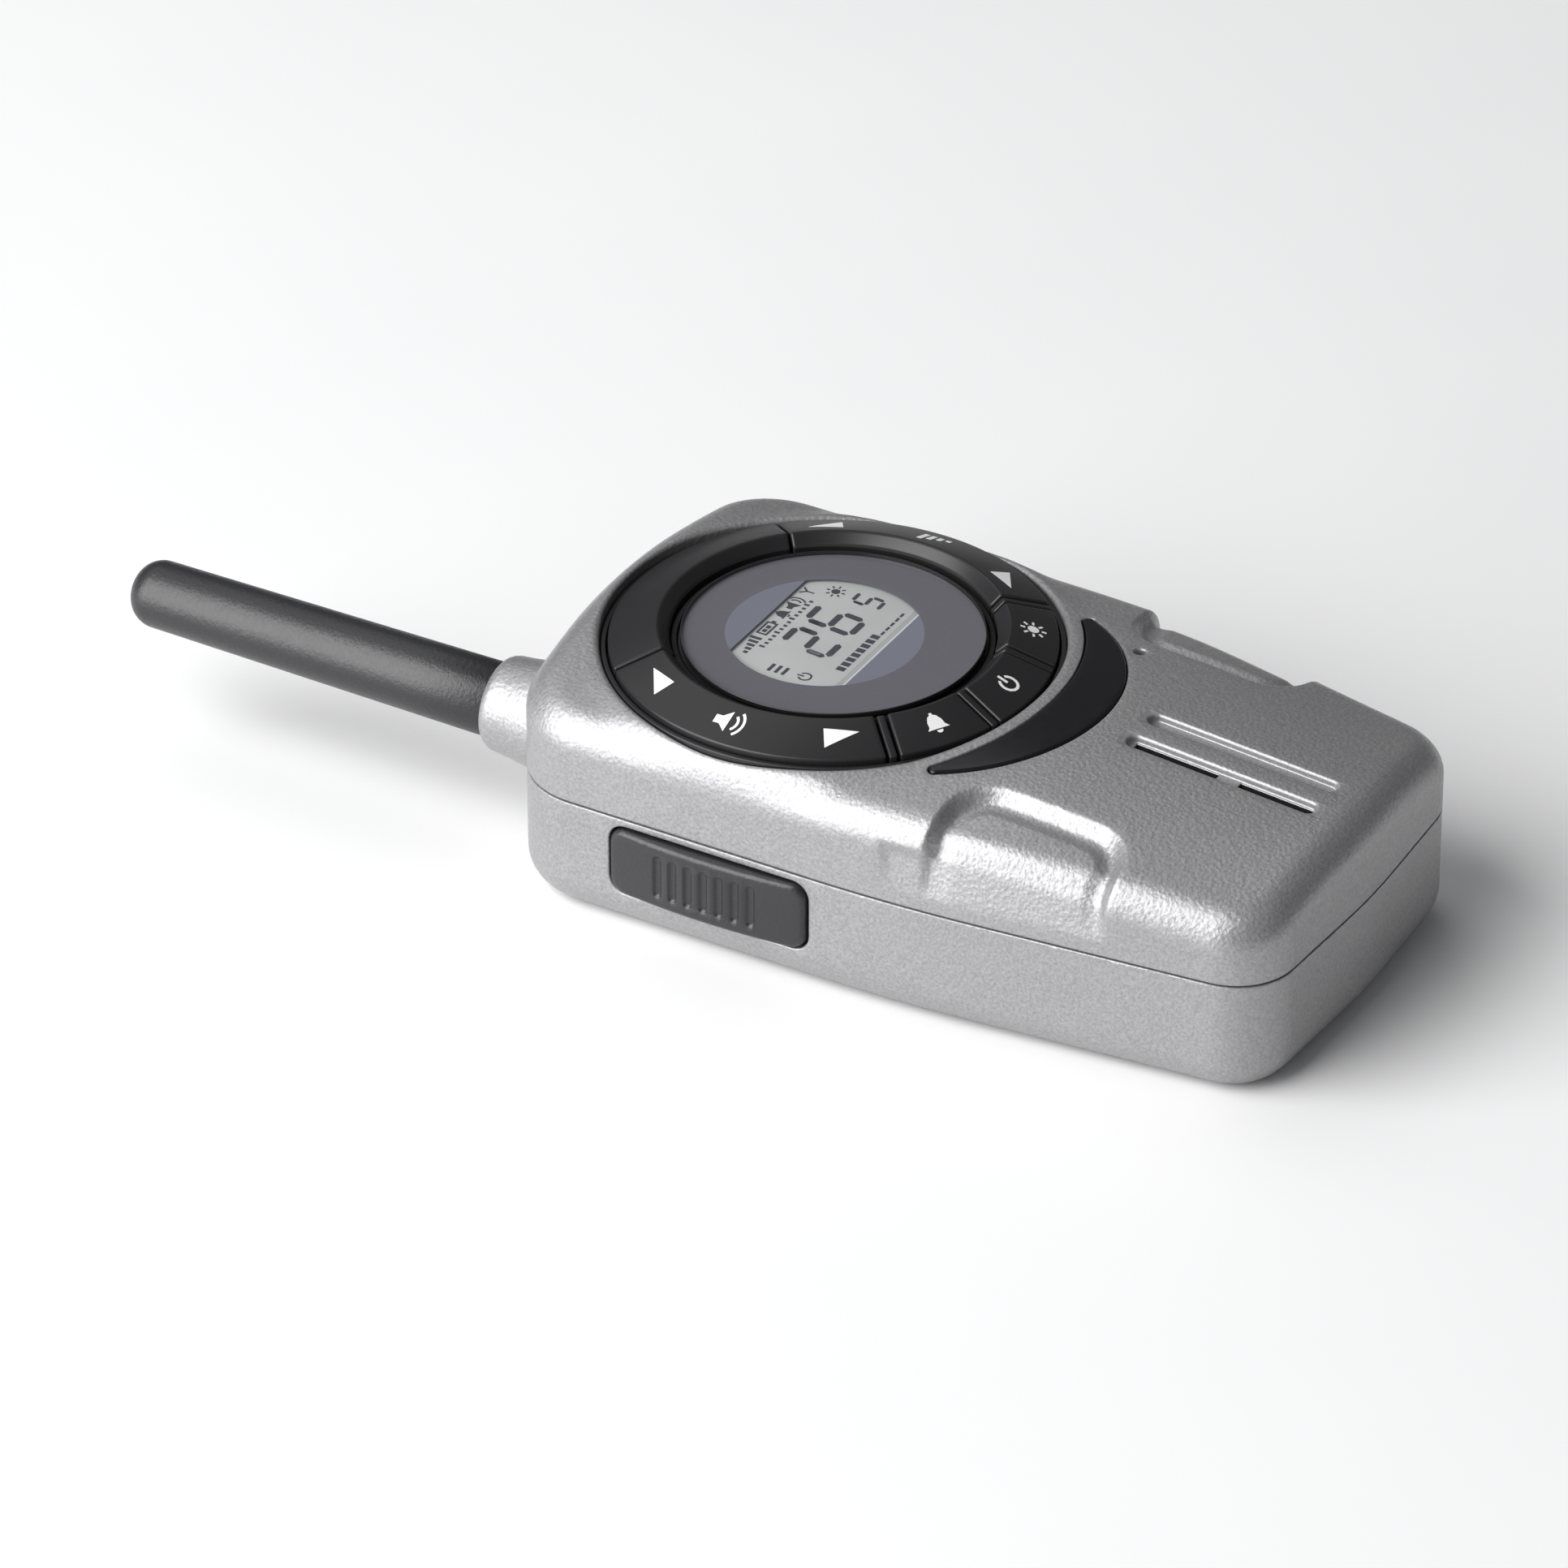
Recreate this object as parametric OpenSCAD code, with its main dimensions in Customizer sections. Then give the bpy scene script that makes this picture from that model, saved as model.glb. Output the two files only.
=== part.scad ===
// Handheld two way radio, lying on its back with the display up.
// X runs to the radio's right, Y to the antenna, Z out of the display.
// The origin is on the flat back, under the centre of the key ring.

/* [Body] */
// Width across the key ring
body_w = 53.5; // [53:0.5:64]
// Width of the tapered foot
foot_w = 45; // [42:0.5:52]
// Ring centre to the crown of the head end
head_y = 27.5; // [27:0.5:34]
// Ring centre to the crown of the foot end
foot_y = 65.2; // [64.5:0.5:80]
// Thickness from the back to the face beside the ring
body_t = 25; // [25:0.5:32]
// Rise of the crowned face along its middle
crown = 1.5; // [0.8:0.1:2]
// Rise of the arched head end
head_arch = 2.6; // [1:0.1:5]
// Rise of the arched foot end
foot_arch = 1.2; // [0.5:0.1:3]
// Rounding of the head corners, seen from the front
head_corner_r = 9; // [7:0.5:12]
// Rounding of the foot corners, seen from the front
foot_corner_r = 7; // [6:0.5:9]
// Ring centre to the bend where the sides begin to taper
taper_y = 22; // [16:1:28]
// Rounding of the front edge
front_edge_r = 3.5; // [3:0.25:4.5]
// Rounding of the back edge
back_edge_r = 4; // [3:0.25:4.5]
// Fall of the face towards the foot, in degrees
face_fall = 4.6; // [3:0.1:6]
// Ring centre to the start of that fall
fall_y = 33; // [31:1:38]
// Wall of both shells
wall = 1.8; // [1.6:0.1:2.2]
// Height of the seam between the shells
split_z = 14; // [13.8:0.1:15]
// Open seam between the shells
seam_gap = 0.2; // [0.1:0.05:0.4]

/* [Key ring] */
// Outer radius of the ring's rim
rim_r = 25; // [24.6:0.1:25.6]
// Thickness of the rim
rim_t = 0.6; // [0.4:0.1:0.8]
// Radius of the ring's crest
crest_r = 18.9; // [18.5:0.1:21]
// Height of the crest above the face
crest_h = 2.5; // [1.8:0.1:3]
// Height of the keys' outer edge above the face
key_edge_h = 0.6; // [0.3:0.1:1]
// Outer radius of the barrel round the window
barrel_r = 17.4; // [16.8:0.1:17.6]
// Thickness of that barrel
barrel_t = 0.6; // [0.4:0.1:0.8]
// Depth of the well's seat below the face
seat_depth = 3.4; // [3.2:0.1:4]
// Width of the ribs between the push keys
rib_w = 0.9; // [0.6:0.1:1.4]
// Gap beside each key
key_gap = 0.3; // [0.2:0.05:0.4]
// Travel of the push keys
key_travel = 0.6; // [0.3:0.1:0.7]
// Tilt of the rockers each way, in degrees
rocker_tilt = 2.5; // [1:0.5:3]
// Diameter of the rocker pins
pin_d = 1.2; // [1:0.1:1.4]
// Radial clearance of the rocker pins
pin_fit = 0.05; // [0.03:0.01:0.08]

/* [Display] */
// Thickness of the window
lens_t = 1; // [0.8:0.1:1.3]
// Width of the glass
lcd_w = 23; // [18:0.5:23.4]
// Height of the glass
lcd_h = 17.4; // [14:0.2:17.4]
// Thickness of the glass
lcd_t = 2; // [1.5:0.1:2.2]

/* [Crescent and sound] */
// Width of the face left between the ring and the crescent plate
crescent_gap = 2; // [1.4:0.1:2.6]
// Radius of the crescent's outer edge
crescent_out_r = 19.5; // [18.5:0.1:21]
// Ring centre to the lowest point of the crescent
crescent_y = 33; // [32:0.1:35]
// Half of the angle that the crescent spans, in degrees
crescent_angle = 40.5; // [30:0.5:41]
// How far the plate stands proud of the face
crescent_proud = 0.15; // [0.05:0.05:0.3]
// Length of the two grooves over the speaker
slot_len = 22.4; // [14:0.1:23]
// Width of those grooves
slot_w = 2; // [1.6:0.1:2.4]
// Depth of those grooves
slot_depth = 0.6; // [0.4:0.1:0.9]
// Distance between the grooves
slot_pitch = 4.8; // [4:0.1:8]
// Width of the sound slit in the left groove
slit_w = 0.8; // [0.5:0.1:1]
// Length of the bridge in the middle of the slit
bridge_len = 2.6; // [1:0.1:4]
// Ring centre to the middle of the grooves
speaker_y = 48.3; // [48:0.1:52]
// Diameter of the speaker
speaker_d = 20.4; // [18:0.2:20.6]
// Diameter of the microphone hole
mic_hole_d = 1.3; // [0.8:0.1:2]
// Place of the microphone hole to the right of the middle
mic_x = 13.9; // [12:0.1:15]
// Ring centre to the microphone hole
mic_y = 29.8; // [29:0.1:31]

/* [Grips] */
// Ring centre to the upper edge of the grip channels
grip_y = 25.8; // [24.5:0.1:28]
// Length of the grip along the body
grip_len = 20.5; // [16:0.5:24]
// Middle of the body to the inner edge of the grip
grip_x = 16.5; // [15:0.1:18]
// Width of the channel
grip_w = 2.8; // [2:0.1:3]
// Depth of the channel
grip_depth = 1; // [0.4:0.1:1.2]
// Outer rounding of the channel's bends
grip_r = 5; // [4:0.5:7]

/* [Antenna] */
// Ring centre to the antenna tip
tip_y = 78.2; // [60:0.2:110]
// Diameter of the whip at its base
whip_d = 8.4; // [7.6:0.1:9]
// Diameter of the whip near its tip
whip_tip_d = 7.6; // [6:0.1:8]
// Side of the body to the antenna axis
whip_in = 10.25; // [10:0.05:10.75]
// Depth of the antenna axis below the face
whip_depth = 8.5; // [8.4:0.1:9]
// Diameter of the collar at its mouth
collar_d = 10.8; // [10.4:0.1:11.6]
// Diameter of the collar where it leaves the head
collar_base_d = 12.2; // [11.6:0.1:12.6]
// Ring centre to the mouth of the collar
collar_y = 31.8; // [31:0.1:36]

/* [Side controls] */
// Length of the talk button
talk_len = 24; // [16:0.5:25]
// Height of the talk button
talk_h = 8; // [6:0.2:8.2]
// How far the talk button stands out
talk_out = 1.2; // [1:0.1:1.6]
// Travel of the talk button
talk_travel = 0.8; // [0.4:0.1:0.9]
// Middle height of the side controls
side_z = 8.8; // [8.6:0.1:9]
// Length of the jack cover
cover_len = 14; // [11:0.5:16]
// Height of the jack cover
cover_h = 7; // [6:0.2:7.6]
// Thickness of the jack cover
cover_t = 1.4; // [1.2:0.1:1.6]
// Radius of the headset socket's bore
jack_r = 1.8; // [1.3:0.05:1.9]

/* [Battery] */
// Diameter of a cell
cell_d = 10.5; // [10.1:0.1:10.6]
// Length of a cell over its button
cell_len = 44.5; // [43.5:0.1:44.6]
// Thickness of the battery door
door_t = 1.6; // [1.4:0.1:1.8]
// Clearance round the battery door
door_fit = 0.2; // [0.1:0.05:0.3]

/* [Fasteners] */
// Diameter of the screws
screw_d = 2; // [1.6:0.1:2.2]
// Diameter of the screw heads
head_d = 3.8; // [3.4:0.1:4]
// Width of the belt clip slot's neck
clip_w = 10; // [8:0.5:11]

/* [Hidden] */
$fn = 64;

silver = "#a8a7aa";
charcoal = "#2b2a2d";
far = 200;
loose = 0.15;       // gap between fixed pieces that are laid in place
bond = 0.1;         // overlap that joins the shapes of one piece
half_w = body_w / 2;

// Levels of the key ring
seat_z = body_t - seat_depth;
base_t = 1;
base_z = seat_z + base_t;
rim_z = body_t + 0.3;
rim_in_r = rim_r - rim_t;
lens_r = barrel_r - barrel_t - pin_fit;
lens_z = body_t + 1.4;
ledge_z = lens_z - lens_t - 0.3;
ledge_w = 1.3;
barrel_z = lens_z + 0.05;
well_r = rim_r + 0.1;
ledge_r = well_r - 2.4;
shelf_t = 1.5;
key_out_r = rim_in_r - 0.2;
key_in_r = barrel_r + 0.2;
rocker_drop = key_out_r * sin(45) * sin(rocker_tilt);
key_floor_z = base_z + max(key_travel, rocker_drop) + 0.5;
pin_z = key_floor_z + 0.3;
plunger_r = 1.2;
plunger_at_r = 19.7;
plunger_a = 24;
plunger_z = seat_z - 0.9;

// Board and what stands on it
board_t = 1;
board_z = split_z + 0.5;
board_top = board_z + board_t;
board_in = wall + 0.9;

can_w = 20;
can_len = 18;
can_h = 3;
socket_len = 9.6;
socket_w = 7;
socket_drop = 3;

// Battery bay
cell_pitch = cell_d + 0.4;
cell_z = door_t + door_fit + 0.3 + cell_d / 2;
bay_end = 1;
bay_foot_y = -foot_y + wall + bay_end + 0.8;
bay_head_y = bay_foot_y + cell_len + 2 * bay_end;
bay_half_w = 1.5 * cell_pitch + 0.15;
bay_wall = 1.2;
bay_top = cell_z + cell_d / 2 + 0.3;
roof_z = bay_top + 0.8;
door_half_w = bay_half_w + 0.8;
tongue_w = 1;
tongue_z = [0.6, 1.3];
door_head_y = bay_head_y + 0.2;

whip_x = half_w - whip_in;
whip_z = body_t - whip_depth;
stud_r = 1.5;
root_r = 3.5;
collar_in_y = 23;
mouth_depth = 1.4;
stud_end_y = 12.6;
nut_r = 3.1;
contact_w = 2.4;
contact_len = 2.6;

// Screws: two beside the antenna stud and its like on the right, two beside the battery door
boss_r = screw_d / 2 + 1.3;
sink_depth = 1.9;
head_screw = [whip_x + stud_r + boss_r + 1.3, 15.8];
foot_screw = [door_half_w + tongue_w + door_fit + head_d / 2 + 0.45, -24];
screw_at = [head_screw, flip(head_screw), foot_screw, flip(foot_screw)];

clip_y = [2, 20];
clip_neck_z = 1.4;
clip_deep_z = 3.2;
clip_lip = 1.8;

// Points of the body's outline

function unit(v) = v / norm(v);

function turn(v, a) = [v.x * cos(a) - v.y * sin(a), v.x * sin(a) + v.y * cos(a)];

function flip(p) = [-p.x, p.y];

// Arc that rounds the corner c between a and b, at the fractions ts of its sweep
function fillet(a, c, b, r, ts) =
    let (u = unit(a - c), v = unit(b - c), h = acos(u * v) / 2)
    let (m = c + unit(u + v) * r / sin(h), s = c + u * r / tan(h) - m)
    [for (t = ts) m + turn(s, t * (180 - 2 * h))];

// Corner c moved inwards by d from both of its edges
function inset_corner(a, c, b, d) =
    let (n1 = turn(unit(c - a), 90), n2 = turn(unit(b - c), 90))
    c + d * (n1 + n2) / (1 + n1 * n2);

head_arch_r = 120;
foot_arch_r = 100;
taper_r = 200;
head_peak = head_y + head_arch_r * (1 / cos(atan(head_arch / half_w)) - 1);
foot_peak = foot_y + foot_arch_r * (1 / cos(atan(2 * foot_arch / foot_w)) - 1);

// Corners of the right half from foot to head
half_corners = [
    [0, -foot_peak], [foot_w / 2, -foot_peak + foot_arch], [half_w, -taper_y],
    [half_w, head_peak - head_arch], [0, head_peak]
];
corner_rs = [foot_arch_r, foot_corner_r, taper_r, head_corner_r, head_arch_r];
crown_steps = [0.6, 0.8, 1];
round_steps = [for (i = [0:5]) i / 5];
bend_steps = [for (i = [0:3]) i / 3];
steps = [crown_steps, round_steps, bend_steps, round_steps, [for (i = [2:-1:0]) 1 - crown_steps[i]]];

function half_outline(d) =
    let (c = concat([flip(half_corners[1])], half_corners, [flip(half_corners[3])]))
    let (k = [for (i = [1:5]) inset_corner(c[i - 1], c[i], c[i + 1], d)])
    let (q = concat([flip(k[1])], k, [flip(k[3])]))
    let (arcs = [for (i = [0:4]) fillet(q[i], q[i + 1], q[i + 2], max(corner_rs[i] - d, 0.5), steps[i])])
    let (side_a = arcs[1][len(arcs[1]) - 1], side_b = arcs[2][0])
    concat(arcs[0], arcs[1], [for (t = [1, 2] / 3) side_a + t * (side_b - side_a)], arcs[2], arcs[3], arcs[4]);

function outline(d) =
    let (h = half_outline(d))
    concat(h, [for (i = [len(h) - 1:-1:0]) flip(h[i])]);

// Height of the face, which is crowned across and falls softly towards the foot, more at its sides
fall_soft = 5;
crown_w = 20;
side_fall = 0.4;
function fall(y) =
    let (u = -fall_y - y)
    tan(face_fall) * (norm([u, fall_soft]) + u) / 2;

function face_z(p) =
    let (f = fall(p.y))
    body_t + crown - f - (crown + side_fall * f) * pow(p.x / crown_w, 2);

edge_steps = 6;
face_insets = [0.6, 3, 6, 10];
function level(d, zs) = let (o = outline(d)) [for (i = [0:len(o) - 1]) [o[i].x, o[i].y, zs]];

function dropped(inset, drop) = [for (p = outline(inset)) [p.x, p.y, face_z(p) - drop]];

// Rings of the front half, d inside the outer surface
function front_rings(d, z) =
    let (r = front_edge_r - d)
    concat([level(d, z)], [
        for (k = [0:edge_steps])
        let (a = 90 * k / edge_steps)
        dropped(d + r * (1 - cos(a)), d + r * (1 - sin(a)))
    ], [for (t = face_insets) dropped(front_edge_r + t, d)]);

// Rings of the rear half, d inside the outer surface
function back_rings(d, z) =
    let (r = back_edge_r - d)
    concat([
        for (k = [edge_steps:-1:0])
        let (a = 90 * k / edge_steps)
        level(d + r * (1 - cos(a)), d + r * (1 - sin(a)))
    ], [level(d, z)]);

// Skin through rings of equal count that mirror about X
module loft(rings) {
    n = len(rings[0]);
    top = (len(rings) - 1) * n;
    sides = [
        for (j = [0:len(rings) - 2], i = [0:n - 1])
        let (a = j * n + i, b = j * n + (i + 1) % n)
        each [[a, a + n, b + n], [a, b + n, b]]
    ];
    caps = [
        for (i = [0:n / 2 - 2])
        let (k = n - 1 - i)
        each [
            [top + k, top + k - 1, top + i + 1], [top + k, top + i + 1, top + i],
            [i, i + 1, k - 1], [i, k - 1, k]
        ]
    ];
    polyhedron(points = [for (r = rings) each r], faces = concat(sides, caps));
}

module front_body(d, z) {
    loft(front_rings(d, z));
}

module back_body(d, z) {
    loft(back_rings(d, z));
}

// Shared flat shapes

module round_slab(w, h, r) {
    square([w - 2 * r, h], center = true);
    square([w, h - 2 * r], center = true);
    for (x = [-1, 1], y = [-1, 1])
        translate([x * (w / 2 - r), y * (h / 2 - r)])
            circle(r);
}

crescent_in_r = rim_r + crescent_gap;

// Crescent below the ring, grown all round for its recess
module crescent(grow) {
    a = crescent_angle;
    mid = crescent_y - crescent_out_r;
    b = mid * cos(a);
    tip_out = b + sqrt(b * b - mid * mid + crescent_out_r * crescent_out_r);
    tip = (crescent_in_r + tip_out) / 2;
    intersection() {
        difference() {
            translate([0, -mid])
                circle(crescent_out_r + grow);
            circle(crescent_in_r - grow);
        }
        polygon([[0, 0], 2 * far * [-sin(a), -cos(a)], 2 * far * [sin(a), -cos(a)]]);
    }
    for (s = [-1, 1])
        translate(tip * [s * sin(a), -cos(a)])
            circle((tip_out - crescent_in_r) / 2 + grow);
}

// Prism of a grip channel on the right side, with the recess in the side wall above it
module grip_prism() {
    reach = 2 * (half_w - grip_x + 5);
    recess_len = 5;
    translate([half_w - 2 * grip_depth, -grip_y - grip_w / 2, split_z + 1.5])
        cube([far, recess_len + grip_w / 2, body_t - front_edge_r - split_z - 1.5]);
    translate([grip_x + reach / 2, -grip_y - grip_len / 2, split_z + 1.5])
        linear_extrude(far)
            difference() {
                round_slab(reach, grip_len, grip_r);
                round_slab(reach - 2 * grip_w, grip_len - 2 * grip_w, grip_r - grip_w);
            }
}

module at_screws() {
    for (p = screw_at)
        translate([p.x, p.y, 0])
            children();
}

// Cylinder along Y from y0 to y1 on the antenna axis
module whip_rod(r, y0, y1) {
    translate([-whip_x, y0, whip_z])
        rotate([-90, 0, 0])
            cylinder(r = r, h = y1 - y0);
}

// Revolved shape about the antenna axis, drawn with radius along x and length along y
module whip_turn() {
    translate([-whip_x, 0, whip_z])
        rotate([-90, 0, 0])
            rotate_extrude()
                children();
}

// Frame on the inside of the sloped face, over the speaker
module at_speaker(drop) {
    r = speaker_d / 2 + 0.3;
    ends = [for (s = [-1, 1]) face_z([0, -speaker_y + s * r])];
    sag = face_z([0, -speaker_y]) - face_z([r, -speaker_y]);
    translate([0, -speaker_y, (ends[0] + ends[1]) / 2 - wall - sag])
        rotate([atan((ends[1] - ends[0]) / (2 * r)), 0, 0])
            translate([0, 0, -drop])
                children();
}

// Front shell with the key well, grips, slots and screw bosses
module front_case() {
    z0 = split_z + seam_gap / 2;
    color(silver)
        difference() {
            union() {
                difference() {
                    front_body(0, z0);
                    front_body(wall, split_z - 1);
                }
                intersection() {
                    front_body(wall / 2, z0);
                    union() {
                        translate([0, 0, seat_z - shelf_t])
                            cylinder(r = well_r + wall, h = far);
                        at_screws()
                            translate([0, 0, board_top])
                                cylinder(r = boss_r, h = far);
                    }
                }
            }
            translate([0, 0, seat_z])
                cylinder(r = well_r, h = far);
            cylinder(r = ledge_r, h = far);
            difference() {
                linear_extrude(far)
                    crescent(loose);
                front_body(wall / 2, split_z - 1);
            }
            difference() {
                for (s = [-1, 1])
                    translate([s * slot_pitch / 2, -speaker_y, board_top])
                        linear_extrude(far)
                            round_slab(slot_w, slot_len, slot_w / 2 - 0.01);
                front_body(slot_depth, split_z - 1);
            }
            for (s = [0, 1])
                translate([-(slot_pitch + slot_w) / 2, -speaker_y, board_top])
                    mirror([0, s, 0])
                        translate([0, bridge_len / 2, 0])
                            cube([slit_w, (slot_len - slot_w - bridge_len) / 2, far]);
            translate([mic_x, -mic_y, board_top])
                cylinder(d = mic_hole_d, h = far);
            difference() {
                for (s = [0, 1])
                    mirror([s, 0, 0])
                        grip_prism();
                front_body(grip_depth, split_z - 1);
            }
            collar(loose);
            at_screws()
                translate([0, 0, board_top - 1])
                    cylinder(d = screw_d + 0.04, h = 4.6);
            lip_space();
        }
}

lip_h = 1.2;
lip_in = wall / 2 + 0.2;

// Room in the front shell for the rear shell's lip
module lip_space() {
    translate([0, 0, split_z - 1])
        linear_extrude(1 + lip_h + loose)
            polygon(outline(lip_in - loose));
}

// Rear shell with the battery bay, side openings, clip slot and antenna collar
module rear_case() {
    z1 = split_z - seam_gap / 2;
    color(silver)
        difference() {
            union() {
                difference() {
                    back_body(0, z1);
                    back_body(wall, split_z + 1);
                }
                intersection() {
                    linear_extrude(far)
                        polygon(outline(lip_in));
                    rear_fittings();
                }
                difference() {
                    collar(0);
                    whip_rod(root_r, 0, far);
                }
            }
            bay_space();
            door_space();
            side_spaces();
            clip_slot();
            whip_rod(root_r + 0.05, collar_in_y - 1, far);
            whip_rod(whip_d / 2 + 0.4, collar_y - mouth_depth, far);
            at_screws() {
                translate([0, 0, -1])
                    cylinder(d = head_d + 0.4, h = 1 + sink_depth);
                cylinder(d = screw_d + 0.3, h = far);
            }
        }
}

// Walls, bosses and lip that stand inside the rear shell
module rear_fittings() {
    linear_extrude(split_z + lip_h)
        difference() {
            polygon(outline(0));
            polygon(outline(wall));
        }
    at_screws()
        translate([0, 0, wall / 2])
            cylinder(r = boss_r, h = board_z - wall / 2);
    translate([-bay_half_w - bay_wall, bay_foot_y - bay_wall, wall / 2])
        cube([2 * (bay_half_w + bay_wall), bay_head_y - bay_foot_y + 2 * bay_wall, roof_z - wall / 2]);
    translate([-clip_w / 2 - clip_lip - wall, clip_y[0] - wall, wall / 2])
        cube([clip_w + 2 * clip_lip + 2 * wall, clip_y[1] - clip_y[0] + 2 * wall, clip_deep_z + wall / 2]);
    translate([half_w - cover_t - wall / 2 - 0.1, -cover_len / 2 - 2, side_z - cover_h / 2 - 1.2])
        cube([wall + 1, cover_len + 4, cover_h + 2.4]);
}

// Flared collar that the whip leaves, with a rounded lip, grown all round for its opening
module collar(grow) {
    r = collar_d / 2 + grow;
    base_r = collar_base_d / 2 + grow;
    lip = 1.2;
    whip_turn() {
        polygon([
            [0, collar_in_y - grow], [base_r, collar_in_y - grow], [base_r, head_y - 3],
            [r, collar_y - lip], [0, collar_y - lip]
        ]);
        translate([0, collar_y - lip - bond])
            square([r - lip, lip + bond]);
        translate([r - lip, collar_y - lip])
            circle(lip);
    }
}

module bay_space() {
    translate([-bay_half_w, bay_foot_y, -1])
        cube([2 * bay_half_w, bay_head_y - bay_foot_y, bay_top + 1]);
}

// Way that the door and its tongues slide in
module door_space() {
    w = door_half_w + door_fit;
    translate([-w, -far, -1])
        cube([2 * w, far + door_head_y + door_fit, 1 + door_t + door_fit]);
    translate([-w - tongue_w, -far, tongue_z[0] - door_fit])
        cube([2 * (w + tongue_w), far + door_head_y - 2 + door_fit, tongue_z[1] - tongue_z[0] + 2 * door_fit]);
}

bead_r = 0.75;
bead_x = half_w - bead_r + 0.2;
bead_y = cover_len / 2;
plug_len = 0.8;

module side_slab(x0, x1, len, h, r) {
    translate([x0, 0, side_z])
        rotate([90, 0, 90])
            linear_extrude(x1 - x0)
                round_slab(len, h, r);
}

// Openings of the talk button and of the jack cover
module side_spaces() {
    gap = 0.25;
    side_slab(-far, -half_w / 2, talk_len + 2 * gap, talk_h + 2 * gap, 2);
    side_slab(half_w - cover_t + 0.1, far, cover_len + 2 * gap, cover_h + 2 * gap, 0.6);
    translate([bead_x, bead_y, side_z - cover_h / 2 - gap]) {
        cylinder(r = bead_r + pin_fit, h = cover_h + 2 * gap);
        cube([far, bead_r + 0.2, cover_h + 2 * gap]);
    }
    translate([half_w / 2, 0, side_z])
        rotate([0, 90, 0])
            cylinder(r = jack_r + 0.6, h = far);
}

// T-shaped slot for a belt clip, open at its head end
module clip_slot() {
    translate([-clip_w / 2, clip_y[0], -1])
        cube([clip_w, clip_y[1] - clip_y[0], 1 + clip_deep_z]);
    translate([-clip_w / 2 - clip_lip, clip_y[0], clip_neck_z])
        cube([clip_w + 2 * clip_lip, clip_y[1] - clip_y[0], clip_deep_z - clip_neck_z]);
    translate([-clip_w / 2 - clip_lip, clip_y[1] - 5, -1])
        cube([clip_w + 2 * clip_lip, 5, 1 + clip_deep_z]);
}

// Top line of the ring from its barrel to its rim
function ring_top(r_in, r_out, drop) = [
    [r_out, body_t + key_edge_h - drop], [crest_r, body_t + crest_h - drop],
    [r_in, body_t + crest_h - 1.3 - drop]
];

module ring_solid(r_in, r_out, z, drop) {
    rotate_extrude()
        polygon(concat([[r_in, z], [r_out, z]], ring_top(r_in, r_out, drop)));
}

// Wedge from angle a0 to a1
module wedge(a0, a1) {
    mid = (a0 + a1) / 2;
    s = tan((a1 - a0) / 2);
    rotate([0, 0, mid])
        linear_extrude(far)
            polygon([[0, 0], far * [1, -s], far * [1, s]]);
}

// Ring frame with its fixed segment, its ribs and the barrel round the window
module key_bezel() {
    color(charcoal)
        difference() {
            union() {
                rotate_extrude()
                    polygon([
                        [lens_r + pin_fit - ledge_w, seat_z], [rim_r, seat_z], [rim_r, rim_z],
                        [rim_in_r, rim_z], [rim_in_r, base_z], [barrel_r, base_z], [barrel_r, barrel_z],
                        [lens_r + pin_fit, barrel_z], [lens_r + pin_fit, ledge_z],
                        [lens_r + pin_fit - ledge_w, ledge_z]
                    ]);
                intersection() {
                    ring_solid(barrel_r - bond, rim_in_r + bond, base_z - bond, 0);
                    wedge(45, 135);
                }
                intersection() {
                    ring_solid(barrel_r - bond, rim_in_r + bond, base_z - bond, 0.1);
                    for (a = [225, 255, 285, 315])
                        rotate([0, 0, a])
                            translate([barrel_r / 2, -rib_w / 2, 0])
                                cube([far, rib_w, far]);
                }
            }
            for (mid = [0, 180])
                rocker_pin(mid, pin_d / 2 + pin_fit, lens_r, rim_r + 1);
            for (a = [180 - plunger_a, 180 + plunger_a, -plunger_a, plunger_a, 240, 270, 300])
                plunger(a, plunger_r + 0.5, seat_z - 1, base_z + bond);
        }
}

module rocker_pin(mid, r, r0, r1) {
    rotate([0, 0, mid])
        translate([r0, 0, pin_z])
            rotate([0, 90, 0])
                cylinder(r = r, h = r1 - r0);
}

module plunger(a, r, z0, z1) {
    rotate([0, 0, a])
        translate([plunger_at_r, 0, z0])
            cylinder(r = r, h = z1 - z0);
}

// Key cap between two angles, trimmed by m0 and m1 so that its end gaps run parallel
module key_cap(a0, m0, a1, m1) {
    difference() {
        intersection() {
            ring_solid(key_in_r, key_out_r, key_floor_z, 0);
            wedge(a0, a1);
        }
        for (e = [[a0, m0], [a1, m1]])
            rotate([0, 0, e[0]])
                translate([0, -e[1], 0])
                    cube([far, 2 * e[1], far]);
    }
}

rib_side = rib_w / 2 + key_gap;

// Rocker about a radial pin; side is 1 on the left and -1 on the right
module rocker(side) {
    mid = 90 + 90 * side;
    color(charcoal) {
        if (side > 0)
            key_cap(135, key_gap, 225, rib_side);
        else
            key_cap(-45, rib_side, 45, key_gap);
        rocker_pin(mid, pin_d / 2, barrel_r - barrel_t, rim_r - pin_fit);
        for (s = [-1, 1])
            plunger(mid + s * plunger_a, plunger_r, plunger_z, key_floor_z + bond);
    }
}

module volume_rocker() {
    rocker(1);
}

module channel_rocker() {
    rocker(-1);
}

module push_key(a0) {
    color(charcoal) {
        key_cap(a0, rib_side, a0 + 30, rib_side);
        plunger(a0 + 15, plunger_r, plunger_z, key_floor_z + bond);
    }
}

module call_key() {
    push_key(225);
}

module mode_key() {
    push_key(255);
}

module light_key() {
    push_key(285);
}

module display_lens() {
    bevel = 0.3;
    color("#69676c")
        rotate_extrude()
            polygon([
                [0, lens_z - lens_t], [lens_r, lens_z - lens_t], [lens_r, lens_z - bevel],
                [lens_r - bevel, lens_z], [0, lens_z]
            ]);
}

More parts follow.
